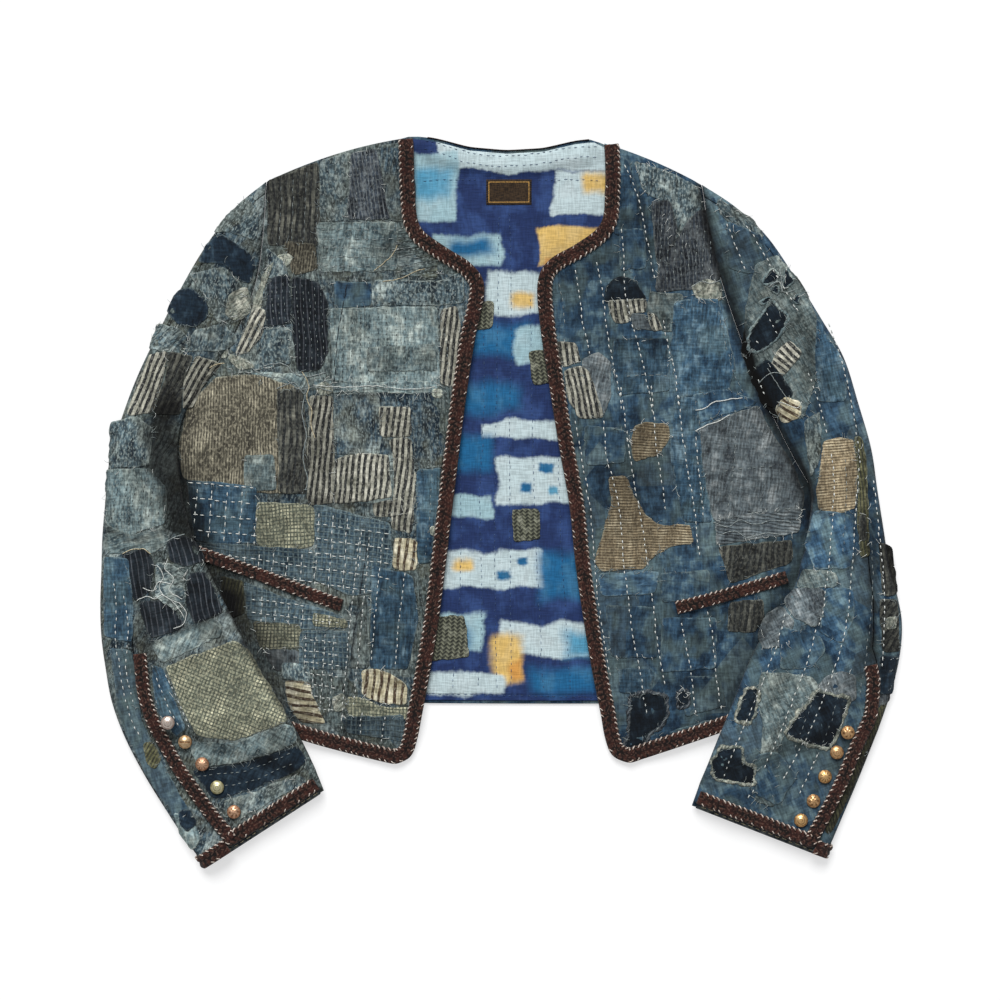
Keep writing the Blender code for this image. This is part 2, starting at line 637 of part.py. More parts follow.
def build_body():
    cloth = material("cloth", COLOURS["cloth"])
    back = back_grid()
    sheet("back", back, lowered(back, BACK_CLOTH), cloth)
    lining = lowered(back, -GAP - LINING)
    sheet("back_lining", lining, lowered(back, -GAP), material("lining", COLOURS["lining"]))
    back_neck_braid(back)
    label(lining)
    fronts = {}
    for side in (RIGHT, LEFT):
        grid = front_grid(side)
        fronts[f"{side.name}_front"] = grid
        sheet(f"{side.name}_front", grid, lowered(grid, CLOTH), cloth)
        front_braid(side, grid)
        ends = [Vector(end) for end in POCKETS[side.name]]
        braid_on(f"{side.name}_pocket_braid", surface(grid), even_path(ends, PATH_STEP))
    return fronts


def build_sleeves():
    cloth = material("cloth", COLOURS["cloth"])
    metals = {"right": material("silver_metal", COLOURS["silver"], 0.35, 1.0),
              "left": material("brass_metal", COLOURS["brass"], 0.35, 1.0)}
    uppers = {}
    for side in (RIGHT, LEFT):
        grids = sleeve_grids(side)
        for name, (outer, inner) in grids.items():
            sheet(f"{side.name}_{name}_sleeve", outer, inner, cloth)
        upper = grids["upper"][0]
        uppers[f"{side.name}_upper_sleeve"] = upper
        cuff_braid(side, upper)
        under_cuff_braid(side, grids["under"][0])
        tree = surface(upper)
        for number, place in enumerate(BUTTONS[side.name], 1):
            turns = [Vector((math.cos(turn), math.sin(turn))) for turn in range(6)]
            rim = [Vector(place) + turn * BUTTON_RADIUS for turn in turns]
            height = max(on_surface(tree, point) for point in rim) + GAP
            button(f"{side.name}_cuff_button_{number}", place, height, metals[side.name])
    return uppers


def stand_on_origin():
    """Moves everything so that the middle of the jacket's box stands on the origin."""
    made = [item for item in bpy.context.scene.objects if item.type == "MESH"]
    corners = [vertex.co for item in made for vertex in item.data.vertices]
    low = Vector([min(corner[k] for corner in corners) for k in range(3)])
    high = Vector([max(corner[k] for corner in corners) for k in range(3)])
    for item in made:
        item.location = (-(low.x + high.x) / 2, -(low.y + high.y) / 2, -low.z)


def main():
    for item in list(bpy.data.objects):
        bpy.data.objects.remove(item)
    panels = build_body()
    panels.update(build_sleeves())
    for entry in PATCHES:
        patch(entry, panels)
    stand_on_origin()


main()
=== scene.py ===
import math

import bpy
import numpy as np
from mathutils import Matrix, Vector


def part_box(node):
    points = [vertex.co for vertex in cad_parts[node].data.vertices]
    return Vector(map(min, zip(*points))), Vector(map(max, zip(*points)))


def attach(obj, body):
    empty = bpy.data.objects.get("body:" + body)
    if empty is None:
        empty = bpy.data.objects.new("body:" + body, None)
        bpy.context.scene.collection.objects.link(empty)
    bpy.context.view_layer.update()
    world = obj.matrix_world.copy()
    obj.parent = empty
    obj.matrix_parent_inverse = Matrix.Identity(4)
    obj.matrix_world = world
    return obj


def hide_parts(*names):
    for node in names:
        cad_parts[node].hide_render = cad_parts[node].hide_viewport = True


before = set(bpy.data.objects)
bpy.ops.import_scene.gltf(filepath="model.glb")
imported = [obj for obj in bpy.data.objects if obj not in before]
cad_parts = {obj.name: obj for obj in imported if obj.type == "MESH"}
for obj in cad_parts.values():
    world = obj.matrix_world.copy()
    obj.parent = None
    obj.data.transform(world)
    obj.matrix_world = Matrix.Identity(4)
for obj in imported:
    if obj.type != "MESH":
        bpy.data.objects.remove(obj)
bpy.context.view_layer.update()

print("stage 1: frame loaded,", len(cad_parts), "CAD pieces")

# The jacket is worked out in millimetres, +X to the wearer's left, +Y to the neck, +Z up.
# The neck label's own place in that frame says how far it is moved in the scene.
labelPlace = {"x": (-14.0, 29.0), "y": (279.0, 303.0)}
labelLow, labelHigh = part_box("neck_label")
shift = np.array([(labelLow[0] + labelHigh[0]) * 500 - sum(labelPlace["x"]) / 2,
                  (labelLow[1] + labelHigh[1]) * 500 - sum(labelPlace["y"]) / 2, 0.0, ])

# Small formulas

def ease(t):
    # 3t^2 - 2t^3, held at 0 and 1
    t = np.clip(t, 0.0, 1.0)
    return t * t * (3 - 2 * t)


def mixed(a, b, share):
    # a at 0, b at 1, straight between
    return a + (b - a) * share


def unit(arrow, least=0.0):
    # an arrow over its own length
    return arrow / (np.linalg.norm(arrow, axis=-1, keepdims=True) + least)


def cloud(x, y, size, seed):
    # random heights of -1 to 1 at the corners of squares of this size, eased between corners
    lattice = np.random.default_rng(seed).uniform(-1, 1, (256, 256))
    gx, gy = np.asarray(x) / size + 700.3, np.asarray(y) / size + 700.7
    ix, iy = np.floor(gx).astype(int), np.floor(gy).astype(int)
    fx, fy = ease(gx - ix), ease(gy - iy)
    ix, iy, jx, jy = ix % 256, iy % 256, (ix + 1) % 256, (iy + 1) % 256
    low = mixed(lattice[iy, ix], lattice[iy, jx], fx)
    high = mixed(lattice[jy, ix], lattice[jy, jx], fx)
    return mixed(low, high, fy)


def crease(x, y, size, seed):
    # a thin ridge of height 1 along the lines where a cloud is nought
    return (1 - np.abs(cloud(x, y, size, seed))) ** 5


def alongTable(table, t):
    # Catmull-Rom: the cubic that passes through the rows of a table, at row number t
    table = np.asarray(table, float)
    last = len(table) - 1
    i = np.clip(np.floor(t).astype(int), 0, last - 1)
    f = (t - i)[:, None]
    a, b, c, d = table[np.maximum(i - 1, 0)], table[i], table[i + 1], table[np.minimum(i + 2, last)]
    return 0.5 * (2 * b + (c - a) * f + (2 * a - 5 * b + 4 * c - d) * f**2 + (3 * b - a - 3 * c + d) * f**3)


def travelled(line):
    # the length along a line at each of its points
    steps = np.linalg.norm(np.diff(line, axis=0), axis=1)
    return np.concatenate([[0.0], np.cumsum(steps)])


def valuesAt(wanted, at, field):
    # each column of a field, straight between its known places
    return np.stack([np.interp(wanted, at, field[:, k]) for k in range(field.shape[1])], -1)


def evenLine(points, step, rounded=True):
    # places at even steps along the curve, or the straight line, through a few points
    points = np.asarray(points, float)
    fine = alongTable(points, np.linspace(0, len(points) - 1, 40 * len(points))) if rounded else points
    at = travelled(fine)
    wanted = np.linspace(0, at[-1], max(2, int(round(at[-1] / step)) + 1))
    return valuesAt(wanted, at, fine)


# The cut, in millimetres: the same rows as the CAD model's

pile = {"back": 2.2, "lining": 1.0, "cloth": 2.4, "gap": 0.3, "neckRise": 4.5, "neckBand": 14.0}
frontRest = pile["back"] + pile["lining"] + 2 * pile["gap"]
neckEnds = (-80.0, 94.0)
topOutline = np.array([
    (-222, 301), (-180, 319), (-140, 330), (-110, 338), (-84, 345), (-60, 341), (-30, 333),
    (5, 330), (40, 332), (70, 339), (88, 341), (101, 335), (140, 321), (165, 312), (190, 298),
], float)

# bow: how far the armhole leaves the straight line from the armpit to the shoulder tip, in X
sides = {
    "right": {"sign": -1, "pit": (-306, 15), "tip": (-222, 301), "foot": (-292, -190),
              "bow": (0, -10, -13, -8, 4, 12.5, 17, 17, 12.5, 6.5, 0),
              "sleeveEdge": ((-304, -20), (-169, -272))},
    "left": {"sign": 1, "pit": (297, 5), "tip": (190, 298), "foot": (292, -192),
             "bow": (0, -6, -10.5, -14, -16, -16, -15.5, -14, -10.5, -6, 0),
             "sleeveEdge": ((299.5, -30), (182, -286))},
}

# a front's rows, hem to shoulder: x and y on its edge, where the row ends up the side seam (0 to 1)
# and the armhole (1 to 2), and its bow
frontRows = {
    "right": np.array([
        (-100, -251, 0.00, -5), (-86, -244, 0.015, -4), (-80, -228, 0.03, -2), (-75, -203, 0.06, 0),
        (-68, -166, 0.28, 0), (-60, -119, 0.52, 0), (-53, -64, 0.76, 0), (-46, -5, 1.00, 0),
        (-40, 45, 1.13, 0), (-33, 100, 1.27, 0), (-25, 152, 1.41, 0), (-16, 200, 1.54, 0),
        (-28, 222, 1.66, 0), (-54, 239, 1.77, 0), (-77, 258, 1.87, 1), (-82, 292, 1.92, 3),
        (-83, 328, 1.96, 5), (-84, 343, 2.00, 6),
    ], float),
    "left": np.array([
        (122, -250, 0.00, 0), (106, -243, 0.015, 0), (99, -226, 0.03, 0), (95, -204, 0.06, 0),
        (87, -164, 0.28, 0), (79, -117, 0.52, 0), (71, -62, 0.76, 0), (65, -5, 1.00, 0),
        (55, 52, 1.13, 0), (46, 108, 1.27, 0), (38, 160, 1.41, 0), (35, 205, 1.54, 0),
        (46, 226, 1.66, 0), (73, 242, 1.77, 0), (95, 261, 1.87, 0), (99, 292, 1.92, 1),
        (99, 323, 1.96, 2), (98, 337, 2.00, 3),
    ], float),
}

# a sleeve's rows, armhole to cuff: x and y of its outer and inner fold, the back seam's distance
# from the outer fold, its climb over the front, and what its own cuff braid lifts it
sleeveRows = {
    "right": np.array([
        (-222, 301, -306, 15, 12, 0, 0), (-252, 276, -305.0, 14.0, 12, 0, 0),
        (-281, 238, -303.5, 10, 12, 0.2, 0), (-305, 197, -302, 5, 13, 0.4, 0),
        (-326, 156, -301, 0, 15, 0.8, 0), (-345, 116, -299.5, -7, 17, 1, 0),
        (-360, 76, -297, -15, 19, 1, 0), (-371, 38, -294.5, -24, 21, 1, 0),
        (-375, 0, -291, -36, 23, 1, 0), (-378, -35, -283, -52, 25, 1, 0),
        (-379, -68, -275, -70, 27, 1, 0), (-380, -100, -263, -94, 29, 1, 0),
        (-379, -130, -251, -118, 31, 1, 0), (-375, -160, -239, -142, 29, 1, 0),
        (-369, -192, -226, -166, 27, 1, 0), (-357, -225, -211, -190, 27, 1, 0),
        (-339, -260, -196, -213, 27, 1, 0), (-318, -294, -184, -236, 28, 1, 0.5),
        (-302, -318, -176, -253, 29, 1, 2), (-290, -334, -173, -261, 30, 1, 4.4),
        (-282, -345, -169, -272, 30, 1, 4.4),
    ], float),
    "left": np.array([
        (190, 298, 297, 5, 12, 0, 0), (222, 277, 297.0, 4.0, 12, 0, 0),
        (252, 249, 295.5, 1, 12, 0.2, 0), (279, 210, 294.5, -3, 12, 0.4, 0),
        (303, 172, 293.5, -8, 12, 0.8, 0), (325, 134, 292.5, -15, 12, 1, 0),
        (339, 90, 291, -24, 13, 1, 0), (351, 48, 290, -34, 14, 1, 0),
        (357, 8, 288, -45, 16, 1, 0), (363, -30, 283, -61, 18, 1, 0),
        (368, -62, 279, -78, 20, 1, 0), (375, -88, 270, -97, 24, 1, 0),
        (380, -115, 256, -115, 28, 1, 0), (379, -142, 243, -136, 28, 1, 0),
        (373, -172, 231, -160, 15, 1, 0), (362, -206, 220, -188, 6.5, 1, 0),
        (349, -240, 208, -218, 9, 1, 0), (336, -272, 197, -246, 9, 1, 0),
        (323, -302, 189, -267, 11, 1, 1.5), (314, -322, 186, -275, 13, 1, 4.4),
        (308, -335, 182, -286, 14, 1, 4.4),
    ], float),
}

# soft ridges: x, y, direction in degrees, length, width, height
foldTable = [
    (-128, 285, 80, 60, 16, 2.2), (-165, 235, 95, 70, 20, 2.0), (-225, 90, 60, 80, 26, 2.4),
    (-120, 40, 88, 110, 24, 1.8), (-170, -60, 72, 80, 26, 2.2), (-130, -150, 80, 60, 20, 1.6),
    (135, 275, 100, 60, 16, 2.2), (170, 215, 100, 70, 18, 2.4), (205, 60, 110, 90, 26, 2.2),
    (115, 20, 98, 120, 24, 1.8), (170, -110, 55, 60, 18, 2.6), (140, -170, 105, 60, 16, 2.0),
    (-90, 150, 88, 80, 18, 1.8), (-60, 20, 86, 90, 16, 1.8), (-210, 170, 70, 60, 14, 2.2),
    (-250, -20, 84, 40, 16, 1.8), (-190, -150, 70, 60, 14, 1.8), (-110, -60, 84, 60, 10, 1.8),
    (70, 150, 98, 90, 18, 1.8), (128, 130, 100, 70, 12, 1.8), (90, -110, 100, 70, 12, 2.0),
    (120, -140, 112, 50, 10, 2.0), (198, -120, 120, 50, 12, 2.2), (240, 20, 108, 60, 14, 1.8),
]

sleeveFolds = [
    (-262, 200, 62, 50, 12, 1.8), (-330, 110, 75, 50, 12, 2.0), (-350, 40, 84, 60, 14, 2.2),
    (-300, -70, 62, 50, 12, 2.2), (-352, -110, 92, 70, 12, 1.8), (-262, -150, 58, 50, 12, 1.8),
    (-300, -260, 60, 60, 14, 1.6), (-236, -240, 62, 40, 12, 1.4), (240, 240, 118, 50, 12, 2.0),
    (292, 150, 116, 60, 10, 2.4), (318, 100, 108, 60, 12, 2.0), (322, 20, 96, 70, 14, 2.0),
    (364, -60, 96, 70, 9, 2.4), (300, -90, 58, 50, 12, 2.2), (262, -150, 60, 50, 10, 2.0),
    (330, -150, 72, 60, 12, 2.2), (290, -220, 60, 50, 12, 1.6), (230, -262, 62, 40, 12, 1.6),
    (345, -230, 66, 50, 8, 2.0),
]


def onOutline(x):
    # the height of the top edge at this x
    return np.interp(x, topOutline[:, 0], topOutline[:, 1])


def seamPoint(side, along):
    # straight from the side seam's foot to the armpit, then a curve through the armhole's bow
    pit, tip, foot = (np.array(sides[side][key], float) for key in ("pit", "tip", "foot"))
    up = np.clip(along, 0, 1)[..., None]
    share = np.clip(along - 1, 0, 1)
    bow = alongTable(np.array(sides[side]["bow"], float)[:, None], share.ravel() * 10).reshape(share.shape)
    armhole = pit + (tip - pit) * share[..., None] + np.stack([bow, 0 * bow], -1)
    return np.where(along[..., None] <= 1, foot + (pit - foot) * up, armhole)


def neckHeight(x, y):
    # what the braid under the back's neck edge lifts it
    opening = ease((x - neckEnds[0]) / pile["neckBand"]) * ease((neckEnds[1] - x) / pile["neckBand"])
    return pile["neckRise"] * opening * ease(2 - (onOutline(x) - y) / pile["neckBand"])


def folds(x, y, table=foldTable):
    # each ridge is a bell across its direction and a flat-topped bell along it
    total = np.zeros_like(x)
    for fx, fy, degrees, length, width, height in table:
        c, s = math.cos(math.radians(degrees)), math.sin(math.radians(degrees))
        along, across = (x - fx) * c + (y - fy) * s, (y - fy) * c - (x - fx) * s
        total += height * np.exp(-((across / width) ** 2) - (along / length) ** 4)
    return total


def underSleeve(side, x, y):
    # 0 on the open front, 1 where the sleeve covers it
    (ax, ay), (bx, by) = sides[side]["sleeveEdge"]
    length = math.hypot(bx - ax, by - ay)
    out = ((x - ax) * (by - ay) - (y - ay) * (bx - ax)) / length * -sides[side]["sign"]
    return ease((out + 16) / 18) * (y < sides[side]["pit"][1] + 12)


def floorOfFront(y):
    # what lies under a front: nought at its hem, the back and lining above it
    return frontRest * ease((y + 232) / 30)


def frontHeight(side, x, y, inside):
    # rest + cloth + ridges, with a soft fullness and small waves that die away at the edges
    free = 1 - underSleeve(side, x, y)
    full = 2.4 * ease(inside / 24)
    waves = 1.1 * cloud(x, y, 58, 3) + 0.7 * cloud(x, y, 23, 4) + 1.0 * crease(x, y, 40, 5)
    small = 0.34 * cloud(x, y, 9, 6) + 0.22 * cloud(x, y, 5, 7)
    relief = (full + waves * ease(inside / 20)) * free + small * ease(inside / 7)
    return floorOfFront(y) + pile["cloth"] + folds(x, y) * ease(inside / 24) + relief


def sleeveFloor(side, x, y, onBody):
    # nought on the floor, and the front's height plus its hem braid where the sleeve lies on it
    pit, foot = (np.array(sides[side][key], float) for key in ("pit", "foot"))
    sign = sides[side]["sign"]
    across = (pit - foot) / np.linalg.norm(pit - foot)
    pastSide = ((x - foot[0]) * across[1] - (y - foot[1]) * across[0]) * sign
    hem = frontRows[side][0, :2]
    along = (hem - foot) / np.linalg.norm(hem - foot)
    pastHem = (-(x - foot[0]) * along[1] + (y - foot[1]) * along[0]) * sign
    past = np.maximum(np.maximum(pastSide, pastHem), y - pit[1])
    climb = onBody * ease((46 - past) / 28)
    ridge = ease((46 - pastHem) / 18) * ease((pastHem + 64) / 18)
    return climb * (floorOfFront(y) + pile["cloth"] + folds(x, y) + 1.0 + ridge * 5.7)


# Height maps: one cell for each millimetre, so that what is sewn on finds its panel

mapLow, mapShape = np.array([-400.0, -372.0]), (744, 800)


def finer(grid, times):
    # the same grid with straight steps put between its points
    for axis in (0, 1):
        n = grid.shape[axis]
        at = np.linspace(0, n - 1, (n - 1) * times + 1)
        i = np.clip(np.floor(at).astype(int), 0, n - 2)
        f = (at - i).reshape((-1, 1, 1) if axis == 0 else (1, -1, 1))
        grid = mixed(np.take(grid, i, axis), np.take(grid, i + 1, axis), f)
    return grid


def raiseMap(heights, grid, times=3):
    # each cell keeps the highest of the places that fall in it
    fine = finer(grid, times).reshape(-1, 3)
    cell = np.rint(fine[:, :2] - mapLow).astype(int)
    ok = (cell >= 0).all(1) & (cell[:, 0] < mapShape[1]) & (cell[:, 1] < mapShape[0])
    np.maximum.at(heights, (cell[ok, 1], cell[ok, 0]), fine[ok, 2])


def heightMap(*grids):
    # a new map of these grids, its outer cells filled from their neighbours
    heights = np.full(mapShape, -1e3)
    for grid in grids:
        raiseMap(heights, grid)
    for _ in range(9):  # spreads the edge's height a little way out
        wide = np.max([np.roll(heights, move, axis) for axis in (0, 1) for move in (-1, 1)], axis=0)
        heights = np.where(heights < -900, wide, heights)
    return np.where(heights < -900, 0.0, heights)


def heightAt(heights, x, y):
    # straight between the four cells round a place
    gx, gy = np.clip(x - mapLow[0], 0, mapShape[1] - 2), np.clip(y - mapLow[1], 0, mapShape[0] - 2)
    ix, iy = np.floor(gx).astype(int), np.floor(gy).astype(int)
    low = mixed(heights[iy, ix], heights[iy, ix + 1], gx - ix)
    high = mixed(heights[iy + 1, ix], heights[iy + 1, ix + 1], gx - ix)
    return mixed(low, high, gy - iy)


def hollowsOf(heights, reach=9):
    # how far each cell stands above the mean of the cloth round it
    there = (heights > 0.01).astype(float)
    sums = []
    for field in (heights * there, there):
        for axis in (0, 1):
            total = np.cumsum(field, axis)
            field = np.roll(total, -reach, axis) - np.roll(total, reach, axis)
        sums.append(field)
    return np.where(there > 0, heights - sums[0] / np.maximum(sums[1], 1.0), 0.0)


# Meshes

def gridFaces(rows, columns, closed=False, ring=False):
    # one quad for each cell of a grid: closed joins its last column to its first, ring its rows
    i = np.arange(rows * columns).reshape(rows, columns)
    if ring:
        i = np.concatenate([i, i[:1]])
    if closed:
        i = np.concatenate([i, i[:, :1]], axis=1)
    return np.stack([i[:-1, :-1], i[:-1, 1:], i[1:, 1:], i[1:, :-1]], -1).reshape(-1, 4)


def outward(points, *groups):
    # turns the faces round if the volume they enclose comes out below nought
    volume = 0.0
    for faces in groups:
        corner = points[faces]
        for k in range(1, faces.shape[1] - 1):
            volume += np.einsum("ij,ij->", corner[:, 0], np.cross(corner[:, k], corner[:, k + 1]))
    return [faces[:, ::-1] if volume < 0 else faces for faces in groups]


def capped(points, ends):
    # a grid joined round its columns, each end closed by a fan from one middle point
    rows, count = points.shape[:2]
    flat = np.concatenate([points.reshape(-1, 3), ends])
    n = rows * count
    i = np.arange(count)
    j = np.roll(i, -1)
    first = np.stack([np.full(count, n), j, i], -1)
    last = np.stack([np.full(count, n + 1), i + n - count, j + n - count], -1)
    return flat, *outward(flat, gridFaces(rows, count, closed=True), np.concatenate([first, last]))


def sheetMesh(top, bottom):
    # two grids of the same size, joined round their rim into one closed wall
    rows, columns = top.shape[:2]
    face = gridFaces(rows, columns)
    i = np.arange(rows * columns).reshape(rows, columns)
    rim = np.concatenate([i[0], i[1:, -1], i[-1, -2::-1], i[-2:0:-1, 0]])
    after = np.roll(rim, -1)
    count = rows * columns
    wall = np.stack([rim, rim + count, after + count, after], -1)
    points = np.concatenate([top.reshape(-1, 3), bottom.reshape(-1, 3)])
    return points, outward(points, np.concatenate([face, face[:, ::-1] + count, wall]))[0]


def weaveMap(points, degrees=0.0, drift=1.3, seed=30):
    # plan places in metres, the warp leaning clockwise by an angle, with the slow drift of old cloth
    x, y = points[..., 0], points[..., 1]
    x = x + drift * cloud(x, y, 27, seed)
    y = y + drift * cloud(x, y, 31, seed + 1)
    c, s = np.cos(np.radians(degrees)), np.sin(np.radians(degrees))
    return np.stack([x * c - y * s, y * c + x * s], -1) * 0.001


def makePiece(name, points, faces, material, weave, marks):
    # faces is an array of quads, or a list of arrays of quads and triangles
    mesh = bpy.data.meshes.new(name)
    groups = faces if isinstance(faces, list) else [faces]
    mesh.from_pydata(((points + shift) * 0.001).tolist(), [],
                     [f for group in groups for f in group.tolist()])
    corner = np.empty(len(mesh.loops), np.int32)
    mesh.loops.foreach_get("vertex_index", corner)
    layer = mesh.uv_layers.new(name="weave")
    layer.data.foreach_set("uv", weave.reshape(-1, 2)[corner].astype(np.float32).ravel())
    for key, values in marks.items():
        made = mesh.attributes.new(key, "FLOAT", "POINT")
        made.data.foreach_set("value", np.asarray(values, np.float32).ravel())
    mesh.materials.append(material)
    mesh.polygons.foreach_set("use_smooth", np.full(len(mesh.polygons), True))
    piece = bpy.data.objects.new(name, mesh)
    bpy.context.scene.collection.objects.link(piece)
    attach(piece, "root")
    return piece


def joined(parts):
    # several (points, quads, triangles, weave, marks) as one
    points, quads, triangles, weaves, marks, start = [], [], [], [], {}, 0
    for p, q, t, w, m in parts:
        points.append(p)
        quads.append(q + start)
        triangles.append(t + start)
        weaves.append(w)
        for key, values in m.items():
            marks.setdefault(key, []).append(values)
        start += len(p)
    return (np.concatenate(points), [np.concatenate(quads), np.concatenate(triangles)],
            np.concatenate(weaves), {key: np.concatenate(v) for key, v in marks.items()})


def addPiece(name, parts, material):
    # several meshes as one piece
    points, faces, weave, marks = joined(parts)
    return makePiece(name, points, faces, material, weave, marks)


# Dyes and weaves

def dye(red, green, blue):
    # an sRGB colour of 0 to 255 as the renderer's linear colour
    c = np.array([red, green, blue]) / 255
    linear = np.where(c <= 0.04045, c / 12.92, ((c + 0.055) / 1.055) ** 2.4)
    return (*map(float, linear), 1.0)


class Loom:
    # one material's nodes, each added by a short call that gives back its output
    def __init__(self, name):
        self.material = bpy.data.materials.new(name)
        self.material.use_nodes = True
        self.tree = self.material.node_tree
        self.tree.nodes.clear()
        weave = self.node("ShaderNodeUVMap", {}, uv_map="weave")
        self.place = self.node("ShaderNodeVectorMath", {0: weave.outputs[0], 3: 1000.0},
                               operation="SCALE").outputs[0]

    def node(self, kind, values, **settings):
        made = self.tree.nodes.new(kind)
        for key, value in settings.items():
            setattr(made, key, value)
        for key, value in values.items():
            if isinstance(value, bpy.types.NodeSocket):
                self.tree.links.new(value, made.inputs[key])
            else:
                made.inputs[key].default_value = value
        return made

    def math(self, operation, *values):
        return self.node("ShaderNodeMath", dict(enumerate(values)), operation=operation).outputs[0]

    def plus(self, first, second):
        return self.math("ADD", first, second)

    def times(self, first, second, more=None):
        # first * second, and more added where it is given
        if more is None:
            return self.math("MULTIPLY", first, second)
        return self.math("MULTIPLY_ADD", first, second, more)

    def mark(self, name):
        return self.node("ShaderNodeAttribute", {}, attribute_name=name).outputs["Fac"]

    def step(self, value, low, high, start=0.0, end=1.0):
        # start below low, end above high, smooth between
        values = {"Value": value, "From Min": low, "From Max": high, "To Min": start, "To Max": end}
        return self.node("ShaderNodeMapRange", values, interpolation_type="SMOOTHSTEP").outputs[0]

    def noise(self, width, length=None, detail=2.0, move=0.0):
        # soft noise of about 0 to 1, its lumps this wide and long in millimetres
        scale = (1 / width, 1 / (length or width), 1.0)
        place = self.node("ShaderNodeMapping", {"Vector": self.place, "Scale": scale,
                                                "Location": (move, move * 0.7, 0.0)}).outputs[0]
        made = self.node("ShaderNodeTexNoise", {"Vector": place, "Scale": 1.0, "Detail": detail,
                                                "Roughness": 0.55}, noise_dimensions="2D")
        return made.outputs["Fac"]

    def mix(self, share, first, second, blend="MIX"):
        made = self.node("ShaderNodeMix", {0: share, 6: first, 7: second}, data_type="RGBA",
                         blend_type=blend)
        return made.outputs[2]

    def scaled(self, colour, factor):
        grey = self.node("ShaderNodeCombineColor", {0: factor, 1: factor, 2: factor}).outputs[0]
        return self.mix(1.0, colour, grey, "MULTIPLY")

    def axes(self):
        split = self.node("ShaderNodeSeparateXYZ", {0: self.place})
        return split.outputs[0], split.outputs[1]

    def bands(self, along, pitch, share, wobble, soft=0.25):
        # 1 on a band and 0 between bands: a sine of the place, cut where the share says
        drift = self.times(wobble, 0.55 * pitch, along)
        wave = self.math("SINE", self.times(drift, 2 * math.pi / pitch))
        cut = math.cos(math.pi * share)
        return self.step(wave, cut - soft, cut + soft)

    def finish(self, colour, height, rough=0.9, depth=0.5, sheen=0.06, **more):
        bump = self.node("ShaderNodeBump", {"Height": height, "Strength": 1.0, "Distance": depth * 0.001})
        values = {"Base Color": colour, "Roughness": rough, "Normal": bump.outputs[0],
                  "Specular IOR Level": 0.16, "Sheen Weight": sheen, "Sheen Roughness": 0.6}
        shader = self.node("ShaderNodeBsdfPrincipled", {**values, **more})
        self.node("ShaderNodeOutputMaterial", {0: shader.outputs[0]})
        return self.material


